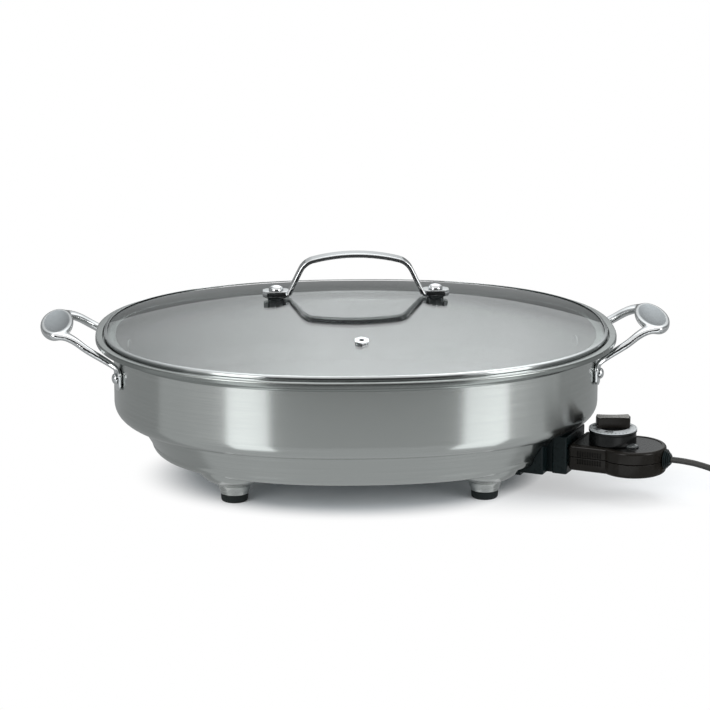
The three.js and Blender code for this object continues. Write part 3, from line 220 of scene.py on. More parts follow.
def turned(outline, sides=96, closed=True):
    """A form of revolution about Z from points of [radius, height] in mm."""
    bm = bmesh.new()
    verts = [bm.verts.new((radius * MM, 0, height * MM)) for radius, height in outline]
    edges = [bm.edges.new(pair) for pair in zip(verts, verts[1:])]
    if closed:
        edges.append(bm.edges.new((verts[-1], verts[0])))
    bmesh.ops.spin(bm, geom=verts + edges, cent=(0, 0, 0), axis=(0, 0, 1), dvec=(0, 0, 0), angle=2 * math.pi,
                   steps=sides, use_merge=True, use_duplicate=False)
    bmesh.ops.remove_doubles(bm, verts=bm.verts, dist=1e-6)
    bmesh.ops.recalc_face_normals(bm, faces=bm.faces)
    return bm


def oval_depth(half):
    """Half the depth of the oval that is half wide. A small one is nearly round, a large one 42 mm shallower."""
    return half - OVAL_NARROWING * half * half / (half * half + OVAL_TURN * OVAL_TURN)


def on_oval(bm):
    """Draws a round form out to the pan's oval, which is a little squarer than an ellipse."""
    for vert in bm.verts:
        half = math.hypot(vert.co.x, vert.co.y) / MM
        if half < 0.001:
            continue
        angle = math.atan2(vert.co.y, vert.co.x)
        x, y = math.cos(angle), math.sin(angle)
        vert.co.x = math.copysign(half * abs(x) ** (2 / OVAL_POWER), x) * MM
        vert.co.y = math.copysign(oval_depth(half) * abs(y) ** (2 / OVAL_POWER), y) * MM
    return bm


def as_mesh(bm, name="blank"):
    """A mesh of a bmesh, which it uses up."""
    mesh = bpy.data.meshes.new(name)
    bm.to_mesh(mesh)
    bm.free()
    return mesh


def piece(name, bm, materials, body, slot, *stands_for, crease=32):
    """A named object of a bmesh, smooth but for edges sharper than crease degrees, that rides on a body, takes
    its materials and stands for CAD nodes. Its slot is not used."""
    for face in bm.faces:
        face.smooth = True
    for edge in bm.edges:
        if len(edge.link_faces) == 2:
            edge.smooth = edge.calc_face_angle(0) < math.radians(crease)
    mesh = as_mesh(bm, name)
    for material in materials:
        mesh.materials.append(material)
    made = bpy.data.objects.new(name, mesh)
    made.modifiers.new("flats stay flat", "WEIGHTED_NORMAL").keep_sharp = True
    scene.collection.objects.link(made)
    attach(made, body)
    if stands_for:
        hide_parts(*stands_for)
    return made


PAN_FLOOR, PAN_LEDGE = 56, 115.9
pan_outline = eased(
    [(0, 53)] + quarter((175.7, 53), (192.2, 65.2), False) + [(192.2, 109.3), (194.3, 109.3, 0.3)]
    + quarter((194.3, 109.3), (202.7, 113.7), True)[1:]
    + [(205.6, 114.6, 0.6), (207.5, 115.4, 0.9), (207.5, 119.4, 1.4), (201.5, 119.4, 0.9), (201.5, 116, 0.4),
       (190, 116, 1.4), (190, 57, 14), (0, 57)])
pan = on_oval(turned(pan_outline, OVAL_SIDES, closed=False))
# Polished aluminium: bright, with the fine rings of the lathe and buff hardly showing.
lip_polish = surface("aluminium_turned_and_polished", "#8c908e", "#999d9b", 1, (0.18, 0.26), (60, 60, 0.5), 0.001)
# Non-stick PTFE, sprayed and cured: an even charcoal with hardly any sheen.
nonstick = surface("ptfe_coating_sprayed", "#292b2d", "#2d3032", 0, (0.52, 0.56), (8, 8, 8), detail=2.0,
                   Specular_IOR_Level=0.2)
for face in pan.faces:
    middle = face.calc_center_median() / MM
    inside = face.normal.z > 0.2 or face.normal.x * middle.x + face.normal.y * middle.y < 0
    face.material_index = 1 if inside and PAN_FLOOR < middle.z < PAN_LEDGE else 0
piece("pan_cast", pan, [lip_polish, nonstick], "base", "nonstick", "cooking_pan")

# Outer shell: 18/10 stainless sheet drawn round the pan, brushed along its length on a belt, and trapped under
# the pan's lip. The belly below is the draw radius.

shell_outline = (
    [(171.5, 51.8)] + quarter((176, 51.8), (193.4, 65.2), False, 12) + [(193.4, 109), (192.5, 109)]
    + quarter((192.5, 65.2), (176, 52.7), True, 12) + [(171.5, 52.7)])


def brushed(name, dark, light):
    """Belt-brushed stainless: lines that run level round the wall, each about half a millimetre tall so that
    they show at this distance, over a slower change in tone. They stretch reflections up and down."""
    made = surface(name, dark, light, 1, (0.19, 0.26), (150, 150, 0.45), 0.0018, detail=5.0,
                   Anisotropic=0.78, Anisotropic_Rotation=0.25)
    tree = made.node_tree
    round_z = add_node(tree, "ShaderNodeTangent", {}, direction_type="RADIAL", axis="Z")
    tree.links.new(round_z.outputs[0], tree.nodes["Principled BSDF"].inputs["Tangent"])
    return made


shell_steel = brushed("stainless_belt_brushed", "#b5b8b6", "#bfc2c0")
piece("shell_drawn", on_oval(turned(shell_outline, OVAL_SIDES)), [shell_steel], "base", "brushed", "outer_shell")

# Base skirt: a lower stainless pressing, crimped to the shell, with four feet drawn down from its floor and a
# window cut for the heater's pins.


def combined(bm, other, operation="DIFFERENCE"):
    """The bmesh after an exact boolean with another, which it uses up."""
    pair = []
    for form in (bm, other):
        pair.append(bpy.data.objects.new("blank", as_mesh(form)))
        scene.collection.objects.link(pair[-1])
    tool = pair[0].modifiers.new("cut", "BOOLEAN")
    tool.operation, tool.object, tool.solver = operation, pair[1], "EXACT"
    result = bmesh.new()
    result.from_object(pair[0], bpy.context.evaluated_depsgraph_get())
    for blank in pair:
        mesh = blank.data
        bpy.data.objects.remove(blank)
        bpy.data.meshes.remove(mesh)
    return result


def block(x0, x1, y0, y1, z0, z1):
    """A box between sizes in mm."""
    bm = bmesh.new()
    bmesh.ops.create_cube(bm, size=1)
    bmesh.ops.scale(bm, vec=((x1 - x0) * MM, (y1 - y0) * MM, (z1 - z0) * MM), verts=bm.verts)
    bmesh.ops.translate(bm, vec=((x0 + x1) / 2 * MM, (y0 + y1) / 2 * MM, (z0 + z1) / 2 * MM), verts=bm.verts)
    return bm


def moved(bm, matrix):
    """The bmesh after a transform, its faces still outwards."""
    bmesh.ops.transform(bm, matrix=matrix, verts=bm.verts)
    if matrix.determinant() < 0:
        bmesh.ops.reverse_faces(bm, faces=bm.faces)
    return bm


FOOT_PLACES = {"left_front": (-98.3, -73), "left_back": (-98.3, 73),
               "right_front": (98.3, -73), "right_back": (98.3, 73)}
PIN_WINDOW = -17.8, 17.8, 26, 42.6
skirt_wall = quarter((156.2, 24.6), (164.2, 32.6), False) + [(175.5, 51.5)]
skirt = on_oval(turned(
    [(96, 24.6)] + skirt_wall + [(167.5, 51.5), (167.5, 50.5), (174.5, 50.5)]
    + quarter((163.2, 32.6), (156.2, 25.6), True) + [(96, 25.6)], OVAL_SIDES))
boss_step = eased([(10.9, 6.5), (11.2, 6.8), (11.2, 9.2, 0.3), (12.1, 9.6, 0.5), (12.4, 11.6), (13.3, 13.6)])
boss_flare = smooth_path([Vector(point).to_3d() for point in (
    (13.3, 13.6), (16, 15.5), (20, 17.6), (24.4, 20.8), (27, 24.4), (28.3, 28.2))], 4)
boss_outline = [(0, 6.5)] + boss_step + [tuple(point[:2]) for point in boss_flare[1:]] + [(0, 28.2)]
bosses = None
for x, y in FOOT_PLACES.values():
    boss = moved(turned(boss_outline, 64, closed=False), Matrix.Translation((x * MM, y * MM, 0)))
    bosses = combined(bosses, boss, "UNION") if bosses else boss
within = on_oval(turned([(0, 25.1)] + quarter((156.2, 25.1), (163.7, 32.6), False) + [(163.7, 50), (0, 50)],
                        OVAL_SIDES, closed=False))
skirt = combined(skirt, combined(bosses, within), "UNION")
skirt = combined(skirt, moved(block(-26, 18, *PIN_WINDOW), socket_frame))
skirt_steel = brushed("stainless_belt_brushed_skirt", "#b5b8b6", "#bfc2c0")
piece("skirt_drawn", skirt, [skirt_steel], "base", "brushed", "base_skirt")

# Feet: EPDM rubber caps, moulded with a counterbore. Each is pushed against the foot drawn from the skirt and
# held by a screw from below.

foot_outline = eased([(5.8, 0, 0.4), (10.4, 0, 1.8), (10.8, 6.2, 0.5), (2.3, 6.2), (2.3, 3), (5.8, 3)])
# Moulded EPDM: dull black with a dusty bloom.
rubber = surface("epdm_rubber_moulded", "#101616", "#1d2424", 0, (0.7, 0.9), (1.2, 1.2, 1.2), 0.03,
                 Specular_IOR_Level=0.3)
for name, (x, y) in FOOT_PLACES.items():
    cap = moved(turned(foot_outline, 48), Matrix.Translation((x * MM, y * MM, 0)))
    piece(f"cap_{name}", cap, [rubber], "base", "rubber", f"foot_{name}")

# Under the skirt and in it: screws, bottom cover, reflector, element, clamp and their nut, as packed. They are
# plain mill pieces, out of sight when the skillet stands.


def dress(material, *names):
    """Gives carried-over CAD nodes a material."""
    for name in names:
        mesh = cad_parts[name].data
        mesh.materials.clear()
        mesh.materials.append(material)


# Zinc-plated steel: pale grey with the cloudy tone of the bath.
zinc = surface("steel_zinc_plated", "#8e9294", "#aeb2b4", 1, (0.28, 0.42), (9, 9, 9), 0.01)
dress(zinc, "bottom_cover", "stud_sleeve", "element_clamp", "cover_nut", "dial_shaft", "control_screw",
      *(f"foot_screw_{name}" for name in FOOT_PLACES))
# Rolled aluminium: soft grey with long mill lines.
dress(surface("aluminium_mill_rolled", "#9b9e9f", "#b2b5b6", 1, (0.35, 0.5), (60, 0.6, 60), 0.01),
      "heat_reflector", "probe_well")
# Nickel-alloy heater sheath: grey-brown, oxidised by its first heating.
dress(surface("nickel_alloy_sheath_oxidised", "#4f4a45", "#6b6863", 0.85, (0.4, 0.6), (8, 8, 8), 0.02),
      "heating_element")
# Steatite: dense pressed ceramic, off-white and matt.
dress(surface("steatite_pressed", "#cfc9bb", "#dfdacf", 0, (0.6, 0.75), (1.2, 1.2, 1.2), 0.02), "terminal_block")

# Side handles: zinc castings, polished and chromed. An oval grip plate stands off the pan on two arms that turn
# down to tabs, and each tab is riveted to the wall. The plate's face has a shallow plain recess.

RIVET_ANGLE = math.radians(17.36)
RIVET_X, RIVET_Y, RIVET_Z = 186.6, 51, 94
GRIP_X = 238
ARM_REACH = GRIP_X - RIVET_X - 0.3 - 1.6
ARM_FOOT, ARM_RISE = 84, 40.8
ARM_STEPS, ARM_SIDES = 24, 24
# Shares of the arm's length: where it has turned to face the wall and where its tip begins to round off.
FACES_WALL, TIP_BEGINS = 0.6, 0.9
TIP_LEFT = 0.985
SQUARE_AT_GRIP, ROUNDER_AT_WALL = 0.62, 0.24
GRIP_HALF_WIDE, GRIP_HALF_LONG, GRIP_LOW, GRIP_HIGH = 13, 42, 121.3, 128.3
DISH_BALL, DISH_BALL_Z = (14.2, 50.4, 5), 131.7
DISH_HALF_WIDE, DISH_HALF_LONG = 9.9, 36
CAST_GRIT, POLISHING_PASSES = 0.6, 20


def slab(plan, low, high, soft_low=0, soft_high=0, steps=4):
    """A plan outline raised from one height to another, in mm, with its lower and upper edges rounded."""
    bm = bmesh.new()
    floor = bm.faces.new([bm.verts.new((x * MM, y * MM, low * MM)) for x, y in plan])
    raised = bmesh.ops.extrude_face_region(bm, geom=[floor])["geom"]
    tops = [item for item in raised if isinstance(item, bmesh.types.BMVert)]
    bmesh.ops.translate(bm, vec=(0, 0, (high - low) * MM), verts=tops)
    bmesh.ops.recalc_face_normals(bm, faces=bm.faces)
    for level, radius in ((low, soft_low), (high, soft_high)):
        if radius:
            rim = [edge for edge in bm.edges if all(abs(vert.co.z - level * MM) < 1e-6 for vert in edge.verts)]
            bmesh.ops.bevel(bm, geom=rim, offset=radius * MM, offset_type="OFFSET", affect="EDGES", segments=steps,
                            profile=0.5, material=-1)
    return bm


def arc(x, y, radius, start, end, steps):
    """Points in mm along an arc from one angle to another."""
    angles = [start + (end - start) * step / steps for step in range(steps + 1)]
    return [(x + radius * math.cos(angle), y + radius * math.sin(angle)) for angle in angles]


def ellipse(half_wide, half_long, sides=72):
    """Points in mm round an ellipse."""
    return [(x * half_wide, y * half_long) for x, y in arc(0, 0, 1, 0, 2 * math.pi, sides)[:-1]]


def lofted(rings):
    """A skin over a row of like rings of points, closed at both ends."""
    bm = bmesh.new()
    loops = []
    for ring in rings:
        verts = [bm.verts.new(point) for point in ring]
        loops.append([bm.edges.new((verts[k - 1], verts[k])) for k in range(len(verts))])
    for one, other in zip(loops, loops[1:]):
        bmesh.ops.bridge_loops(bm, edges=one + other)
    bmesh.ops.holes_fill(bm, edges=loops[0] + loops[-1], sides=0)
    bmesh.ops.recalc_face_normals(bm, faces=bm.faces)
    return bm


def handle_arm(side):
    """One arm: an oval bar at the grip that flattens into its tab on the wall."""
    # How far out, along and up of the arm's reach, then its width and thickness in mm, from the grip to the tab.
    route = [(1.0, 0.657, 1, 17, 5.8), (0.84, 0.686, 0.99, 15.6, 5.8), (0.68, 0.757, 0.91, 11.8, 5.8),
             (0.48, 0.83, 0.75, 10.2, 5.6), (0.19, 0.87, 0.54, 10, 5.2), (0.04, 0.94, 0.43, 11, 4.4),
             (0, 1, 0.36, 13.4, 3.5), (0, 1, 0.18, 13.4, 3.2), (0, 1, 0, 13.4, 3.2)]
    points = [Vector((GRIP_X - ARM_REACH + out * ARM_REACH, side * along * RIVET_Y, ARM_FOOT + up * ARM_RISE))
              for out, along, up, wide, thick in route]
    path = smooth_path(points, ARM_STEPS)
    sections = smooth_path([Vector((wide, thick, 0)) for out, along, up, wide, thick in route], ARM_STEPS)
    rings = []
    for i, point in enumerate(path):
        t = i / (len(path) - 1)
        along = (path[min(i + 1, len(path) - 1)] - path[max(i - 1, 0)]).normalized()
        flat = min(t / FACES_WALL, 1)
        flat = flat * flat * (3 - 2 * flat)
        facing = RIVET_ANGLE * side * flat
        across = Vector((-math.sin(facing), math.cos(facing), 0))
        outward = along.cross(across).normalized()
        past = max(0, (t - TIP_BEGINS) / (1 - TIP_BEGINS))
        round_tip = math.sqrt(1 - min(past, TIP_LEFT) ** 2)
        half_wide, half_thick = sections[i].x / 2 * round_tip, sections[i].y / 2
        square = SQUARE_AT_GRIP - ROUNDER_AT_WALL * flat
        ring = []
        for k in range(ARM_SIDES):
            turn = 2 * math.pi * k / ARM_SIDES
            wide = math.copysign(abs(math.cos(turn)) ** square, math.cos(turn)) * half_wide
            thick = math.copysign(abs(math.sin(turn)) ** square, math.sin(turn)) * half_thick
            ring.append((point + across * wide + outward * thick) * MM)
        rings.append(ring)
    return lofted(rings)


def cast(bm, grit, passes):
    """The form as one casting: built again at a grit in mm, then worn round by a number of polishing passes."""
    mesh = as_mesh(bm)
    blank = bpy.data.objects.new("blank", mesh)
    scene.collection.objects.link(blank)
    melt = blank.modifiers.new("melt", "REMESH")
    melt.mode, melt.voxel_size = "VOXEL", grit * MM
    result = bmesh.new()
    result.from_object(blank, bpy.context.evaluated_depsgraph_get())
    bpy.data.objects.remove(blank)
    bpy.data.meshes.remove(mesh)
    for _ in range(passes):
        bmesh.ops.smooth_vert(result, verts=result.verts, factor=0.5, use_axis_x=True, use_axis_y=True,
                              use_axis_z=True)
    return result


# Chromed zinc: a bright mirror, hardly clouded by handling.
chrome = surface("zinc_die_cast_chromed", "#dadcdd", "#e2e4e5", 1, (0.04, 0.06), (22, 22, 22), detail=1.0)
# The grip's dished face: the same chrome, blasted satin, so it shows one soft tone.
satin_chrome = surface("chrome_satin_blasted", "#84898c", "#8c9194", 1, (0.28, 0.32), (6, 6, 6), 0.001)

for end, name in ((0, "right"), (math.pi, "left")):
    plate = slab(ellipse(GRIP_HALF_WIDE, GRIP_HALF_LONG), GRIP_LOW, GRIP_HIGH, 3.4, 1.6, 6)
    for side in (-1, 1):
        plate = combined(plate, moved(handle_arm(side), Matrix.Translation((-GRIP_X * MM, 0, 0))), "UNION")
    dish = bmesh.new()
    bmesh.ops.create_uvsphere(dish, u_segments=96, v_segments=48, radius=MM)
    bmesh.ops.scale(dish, vec=DISH_BALL, verts=dish.verts)
    bmesh.ops.translate(dish, vec=(0, 0, DISH_BALL_Z * MM), verts=dish.verts)
    grip = cast(combined(plate, dish), CAST_GRIT, POLISHING_PASSES)
    for face in grip.faces:
        x, y, z = face.calc_center_median() / MM
        in_dish = z > 125 and face.normal.z > 0.7 and math.hypot(x / DISH_HALF_WIDE, y / DISH_HALF_LONG) < 1
        face.material_index = 1 if in_dish else 0
    grip = moved(grip, Matrix.Rotation(end, 4, "Z") @ Matrix.Translation((GRIP_X * MM, 0, 0)))
    piece(f"handle_cast_{name}", grip, [chrome, satin_chrome], "base", "chrome", f"handle_{name}", crease=60)

# Rivets: aluminium, with a flat head inside the pan and a snapped dome outside. They are closed cold through
# the tab, shell and pan, and polished with the handle.

rivet_outline = ([(0, -4.9), (4.3, -4.9), (4.6, -4.6), (4.6, -3.7), (2.3, -3.7), (2.3, 3.8), (4.4, 3.8)]
                 + quarter((4.4, 4.0), (0, 6.9), True, 8))
lie = Matrix.Rotation(math.pi / 2, 4, "Y")
for end, end_name in ((0, "right"), (math.pi, "left")):
    for side in (-1, 1):
        spot = Matrix.Translation((RIVET_X * MM, side * RIVET_Y * MM, RIVET_Z * MM))
        seat = spot @ Matrix.Rotation(RIVET_ANGLE * side, 4, "Z")
        rivet = moved(turned(rivet_outline, 32, closed=False), Matrix.Rotation(end, 4, "Z") @ seat @ lie)
        facing = "front" if (side < 0) == (end == 0) else "back"
        piece(f"dome_{end_name}_{facing}", rivet, [chrome], "base", "chrome", f"rivet_{end_name}_{facing}")

# Socket guard: a black phenolic moulding screwed inside the skirt. It shrouds the heater's two pins and steps in
# to a mouth that guides the control.

GUARD_LOW, GUARD_HIGH = 20.3, 50.6
guard_half = eased([(-26, 0), (-26, 30), (-2.6, 30, 1.6), (-2.6, 19.4), (1.8, 19.4), (1.8, 21.6, 1.6),
                    (14, 21.6, 1.6), (14, 0)])
guard_plan = guard_half[1:-1] + [(x, -y) for x, y in reversed(guard_half[1:-1])]
guard = slab(guard_plan, GUARD_LOW, GUARD_HIGH, 0.5, 0.9, 3)
guard = combined(guard, block(-26, -21, -30, 30, 18, 22.6), "UNION")
guard = moved(guard, socket_frame)
inside_skirt = on_oval(turned(
    [(0, 24.3)] + quarter((156.2, 24.3), (164.5, 32.6), False) + [(175.8, 51.5), (0, 51.5)], OVAL_SIDES,
    closed=False))
inside_shell = on_oval(turned(
    [(0, 51.5)] + quarter((176, 51.5), (193.7, 65.2), False) + [(193.7, 80), (0, 80)], OVAL_SIDES, closed=False))
guard = combined(combined(guard, inside_skirt), inside_shell)
guard = combined(guard, moved(block(-40, 18, *PIN_WINDOW), socket_frame))
x, y = FOOT_PLACES["right_front"]
boss_room = [(radius + (0.3 if radius else 0), height - 0.3) for radius, height in boss_outline[:-1]] + [(0, 27.9)]
guard = combined(guard, moved(turned(boss_room, 48, closed=False), Matrix.Translation((x * MM, y * MM, 0))))
# Compression-moulded phenolic: black with a green-blue cast, smooth from the tool but never bright.
phenolic = surface("phenolic_compression_moulded", "#091213", "#0f191a", 0, (0.24, 0.36), (3, 3, 3), 0.006,
                   Specular_IOR_Level=0.15)
piece("guard_moulded", guard, [phenolic], "base", "phenolic", "socket_guard")
# Nickel plate on steel pins: warm bright metal with faint rings from turning.
dress(surface("steel_pins_nickel_plated", "#b9bab6", "#cdcecb", 1, (0.12, 0.22), (0.8, 12, 12), 0.004),
      "terminal_pin_front", "terminal_pin_back")

# Control housing: two glass-filled nylon shells that meet at a level seam, with rows of vent slots in each side
# and a screw from below.

HOUSING_LOW, HOUSING_HIGH = 24, 45
SEAM, SEAM_HALF_GAP, SEAM_EDGE = 35.2, 0.25, 0.35
BACK, NECK_HALF, HEAD_X, HEAD_RADIUS = 15.4, 21, 61.3, 26.2
WALL, BORDER, PANEL_TOP = 2.2, 3.4, 44.55
VENTS, FIRST_VENT, VENT_STEP, VENT_WIDE = 10, 22.6, 2.05, 1.05
BOOT_Z, DIAL_X = 36, 44.5
LENS_X, LENS_Y = 62.6, -6.8


def housing_plan(inset):
    """The plan of the housing: a straight neck that runs into a round head."""
    radius, half = HEAD_RADIUS - inset, NECK_HALF - inset
    meet = math.asin(half / radius)
    head = arc(HEAD_X, 0, radius, meet - math.pi, math.pi - meet, 64)
    ease = 2.4 - inset
    return eased([(BACK + inset, half, max(ease, 0.2)), (BACK + inset, -half, max(ease, 0.2))] + head)


def vent_slots(bm, low, high):
    """Cuts a row of slots through both side walls between two heights."""
    for k in range(VENTS):
        x = FIRST_VENT + k * VENT_STEP
        for y0, y1 in ((-24, -19.6), (19.6, 24)):
            bm = combined(bm, block(x, x + VENT_WIDE, y0, y1, low, high))
    return bm


def rod(radius, low, high):
    """A round rod on Z between two heights, in mm."""
    return turned([(0, low), (radius, low), (radius, high), (0, high)], 32, closed=False)


nose_hole = (14, 20, -17.5, 17.5, 27.7, 40.3)
boot_hole = (5.3, 70, 95)
boot_lie = Matrix.Translation((0, 0, BOOT_Z * MM)) @ Matrix.Rotation(math.pi / 2, 4, "Y")
lens_spot = Matrix.Translation((LENS_X * MM, LENS_Y * MM, 0))
dial_spot = Matrix.Translation((DIAL_X * MM, 0, 0))
tray = combined(slab(housing_plan(0), HOUSING_LOW, SEAM - SEAM_HALF_GAP, 2.6, SEAM_EDGE, 5),
                slab(housing_plan(WALL), HOUSING_LOW + WALL, SEAM + 5))
tray = combined(tray, block(*nose_hole))
tray = combined(tray, moved(rod(*boot_hole), boot_lie))
tray = vent_slots(tray, 29.9, 34.2)
# Injection-moulded nylon: brown-black, with a fine spark-eroded grain and a low gloss.
nylon = surface("nylon_glass_filled_moulded", "#161412", "#1d1b18", 0, (0.14, 0.2), (0.5, 0.5, 0.5), 0.004,
                Specular_IOR_Level=0.14)
piece("housing_tray", moved(tray, socket_frame), [nylon], "control", "housing", "control_base")

cover = combined(slab(housing_plan(0), SEAM + SEAM_HALF_GAP, HOUSING_HIGH, SEAM_EDGE, 2.2, 6),
                 slab(housing_plan(WALL), SEAM - 5, HOUSING_HIGH - WALL))
cover = combined(cover, block(*nose_hole))
cover = combined(cover, moved(rod(*boot_hole), boot_lie))
cover = vent_slots(cover, 36.2, 40.6)
cover = combined(cover, moved(rod(4.2, 40, 48), lens_spot))
# A shallow plain panel sinks into the top, inside a raised border.
cover = combined(cover, slab(housing_plan(BORDER), PANEL_TOP, 50))
dial_seat = moved(turned(eased([(3.4, 44), (13, 44), (13, 47, 0.6), (3.4, 47)]), 48), dial_spot)
cover = combined(cover, dial_seat, "UNION")
# The panel's level top faces take the etched nylon, whose darker colour is painted shade.
for face in cover.faces:
    middle = face.calc_center_median() / MM
    face.material_index = 1 if face.normal.z > 0.99 and abs(middle.z - PANEL_TOP) < 0.01 else 0
# The panel: the same nylon with a real etched texture, rougher than the sides, but its colour is painted shade:
# darker than the sides' nylon, so that the top reads black.
nylon_panel_painted_shade = surface("nylon_panel_etched_painted_shade", "#0b0b0b", "#121212", 0, (0.22, 0.3), (0.45, 0.45, 0.45), 0.004,
                       Specular_IOR_Level=0.2)
piece("housing_lid", moved(cover, socket_frame), [nylon, nylon_panel_painted_shade], "control", "housing", "control_cover")

# Heating light: a clear polycarbonate button, moulded with a collar and pressed into the cover over a small
# neon lamp.

lens = moved(turned([(0, 42.8), (3.9, 42.8), (3.9, 44.9), (5.4, 44.9), (5.4, 45.4)]
                    + quarter((5.4, 45.5), (0, 47), True, 8), 48, closed=False), socket_frame @ lens_spot)
# Clear polycarbonate: a bright grey drop with sharp highlights.
clear = surface("polycarbonate_clear_moulded", "#8f9698", "#a3aaab", 0, (0.03, 0.07), (8, 8, 8), 0.01,
                Transmission_Weight=0.85, IOR=1.58)
piece("lens_button", lens, [clear], "control", "lens", "indicator_lens", crease=50)
# The lamp's glass: dull red while it is off.
dress(surface("neon_lamp_glass", "#b8675a", "#d08a74", 0, (0.06, 0.12), (4, 4, 4), 0.01), "indicator_lamp")

# Contacts and probe: a phenolic carrier with two brass sockets, and the thermostat's probe, a nickel-plated rod
# that reaches under the pan. A bimetal strip works the switch inside.

dress(phenolic, "contact_block")
# Drawn brass: yellow, with faint marks across the draw.
dress(surface("brass_drawn", "#a98d4b", "#c2a660", 1, (0.2, 0.34), (0.6, 14, 14), 0.004),
      "contact_sleeve_front", "contact_sleeve_back", "thermostat_strip", "plug_blade_left", "plug_blade_right")
# Nickel plate on the probe: warm bright metal with faint lines along it.
dress(surface("probe_nickel_plated", "#b4b4b0", "#cbcbc7", 1, (0.12, 0.24), (12, 0.8, 12), 0.004), "probe_rod")

# Dial: a phenolic skirt carrying a silver aluminium ring with printed temperatures, and a grip bar with waisted
# sides whose top face is stamped with silver foil.

RING_OUTER, RING_INNER, RING_LOW, RING_HIGH = 18.9, 12.6, 56.6, 57.4
MARK_RADIUS, FIRST_MARK, TICK_TURN, NUMBER_TURN = 14.7, 36, 9.6, 48
TICKS, TICK_SIZES = 31, (17.5, 18.6, -0.3, 0.3, -0.04, 0.05)
NUMBER_SIZE, NUMBER_BOLDNESS, INK_THICK = 4.6, 0.16, 0.05
GRIP_TURN = math.radians(24)
dial_frame = socket_frame @ dial_spot
dial_skirt = turned(eased([(3.15, 47.4), (14.2, 47.4), (14.2, 45.3), (18.7, 45.3, 0.4), (18.3, 53.6, 0.5),
                           (18.9, 54.2), (18.9, 55.6, 0.3), (12.2, 55.6), (12.0, 57.5, 0.4), (3.15, 57.5)]), 96)
# The same phenolic, buffed: black with clear highlights.
phenolic_buffed = surface("phenolic_buffed", "#0b0c0c", "#121313", 0, (0.14, 0.2), (3, 3, 3), 0.004,
                          Specular_IOR_Level=0.25)
piece("dial_skirt", moved(dial_skirt, dial_frame), [phenolic_buffed], "dial", "phenolic", "dial_base")

ring = turned(eased([(12.4, 55.9), (RING_OUTER, 55.9), (RING_OUTER, RING_LOW, 0.25), (RING_INNER, RING_HIGH, 0.2),
                     (12.4, 57.2)]), 96)
# Spun aluminium under a silver lacquer: pale, and as bright from every side.
ring_satin = surface("aluminium_silver_lacquered", "#b4b8ba", "#c2c6c8", 0.35, (0.4, 0.5), (0.5, 0.5, 0.5), 0.002)
piece("dial_scale", moved(ring, dial_frame), [ring_satin], "dial", "satin", "dial_ring")

marks = bmesh.new()
# Screen ink: flat black on the silver.
ink = surface("screen_ink_black", "#121415", "#1b1e1f", 0, (0.4, 0.55), (0.4, 0.4, 0.4), 0.002)
slope = math.atan2(RING_HIGH - RING_LOW, RING_OUTER - RING_INNER)
lean = (Matrix.Translation((0, 0, (RING_LOW + RING_OUTER * math.tan(slope)) * MM))
        @ Matrix.Rotation(slope, 4, "Y"))
for k in range(TICKS):
    tick_turn = Matrix.Rotation(math.radians(FIRST_MARK + TICK_TURN * k), 4, "Z")
    mesh = as_mesh(moved(block(*TICK_SIZES), dial_frame @ tick_turn @ lean))
    marks.from_mesh(mesh)
    bpy.data.meshes.remove(mesh)
mark_height = RING_HIGH - (MARK_RADIUS - RING_INNER) * math.tan(slope)
on_ring = (Matrix.Translation((MARK_RADIUS * MM, 0, mark_height * MM)) @ Matrix.Rotation(slope, 4, "Y")
           @ Matrix.Rotation(math.pi / 2, 4, "Z"))
for k, text in enumerate(("W", "200", "250", "300", "350", "400")):
    letters = bpy.data.curves.new("blank", "FONT")
    letters.body, letters.size, letters.align_x, letters.align_y = text, NUMBER_SIZE * MM, "CENTER", "CENTER"
    letters.extrude, letters.offset = INK_THICK * MM, NUMBER_BOLDNESS * MM
    words = bpy.data.objects.new("blank", letters)
    scene.collection.objects.link(words)
    mesh = bpy.data.meshes.new_from_object(words.evaluated_get(bpy.context.evaluated_depsgraph_get()))
    mesh.transform(dial_frame @ Matrix.Rotation(math.radians(FIRST_MARK + NUMBER_TURN * k), 4, "Z") @ on_ring)
    marks.from_mesh(mesh)
    bpy.data.objects.remove(words)
    bpy.data.curves.remove(letters)
    bpy.data.meshes.remove(mesh)
piece("dial_marks", marks, [ink], "dial", "satin")

bar_plan = eased([(-12.5, -6.75, 0.8), (-8, -5.75), (-3, -5.2), (3, -5.2), (8, -5.75), (12.5, -6.75, 0.8),
                  (13.6, 0), (12.5, 6.75, 0.8), (8, 5.75), (3, 5.2), (-3, 5.2), (-8, 5.75), (-12.5, 6.75, 0.8),
                  (-13.6, 0)])
bar = slab(bar_plan, 57.8, 65.8, 0, 0.9, 4)
for face in bar.faces:
    face.material_index = 1 if face.normal.z > 0.99 and face.calc_center_median().z > 65 * MM else 0
# Silver foil, hot-stamped on nylon: a dim warm metal.
bar_top = surface("nylon_hot_stamped_silver", "#77746f", "#8d8a85", 0.9, (0.24, 0.34), (0.8, 14, 14), 0.002)
piece("grip_bar", moved(bar, dial_frame @ Matrix.Rotation(GRIP_TURN, 4, "Z")), [nylon, bar_top], "dial",
      "housing", "dial_grip")

# Boot: a black strain relief with four ribs, moulded on the cord, its root trapped between the housing's halves.
# It looks as black and as dull as the guard, so it takes the guard's material.

FIRST_RIB, RIB_STEP, RIB_THICK = 87.8, 1.15, 0.7
boot_outline = [(0, 80), (5, 80), (5, FIRST_RIB)]
for k, radius in enumerate((8.2, 7.8, 6.4, 5.2)):
    start = FIRST_RIB + k * RIB_STEP
    boot_outline += [(radius, start), (radius - 0.3, start + RIB_THICK), (4.6, start + RIB_THICK),
                     (4.4, start + RIB_STEP)]
boot_outline += [(3.5, 92.4), (0, 92.4)]
boot = moved(turned(boot_outline, 8, closed=False), socket_frame @ boot_lie @ Matrix.Rotation(math.pi / 8, 4, "Z"))
piece("boot_moulded", boot, [phenolic], "control", "phenolic", "strain_relief", crease=20)

# Tie and plug, as packed: a rubber band round the coil, and a two-blade plug of PVC moulded on the cord's far
# end.

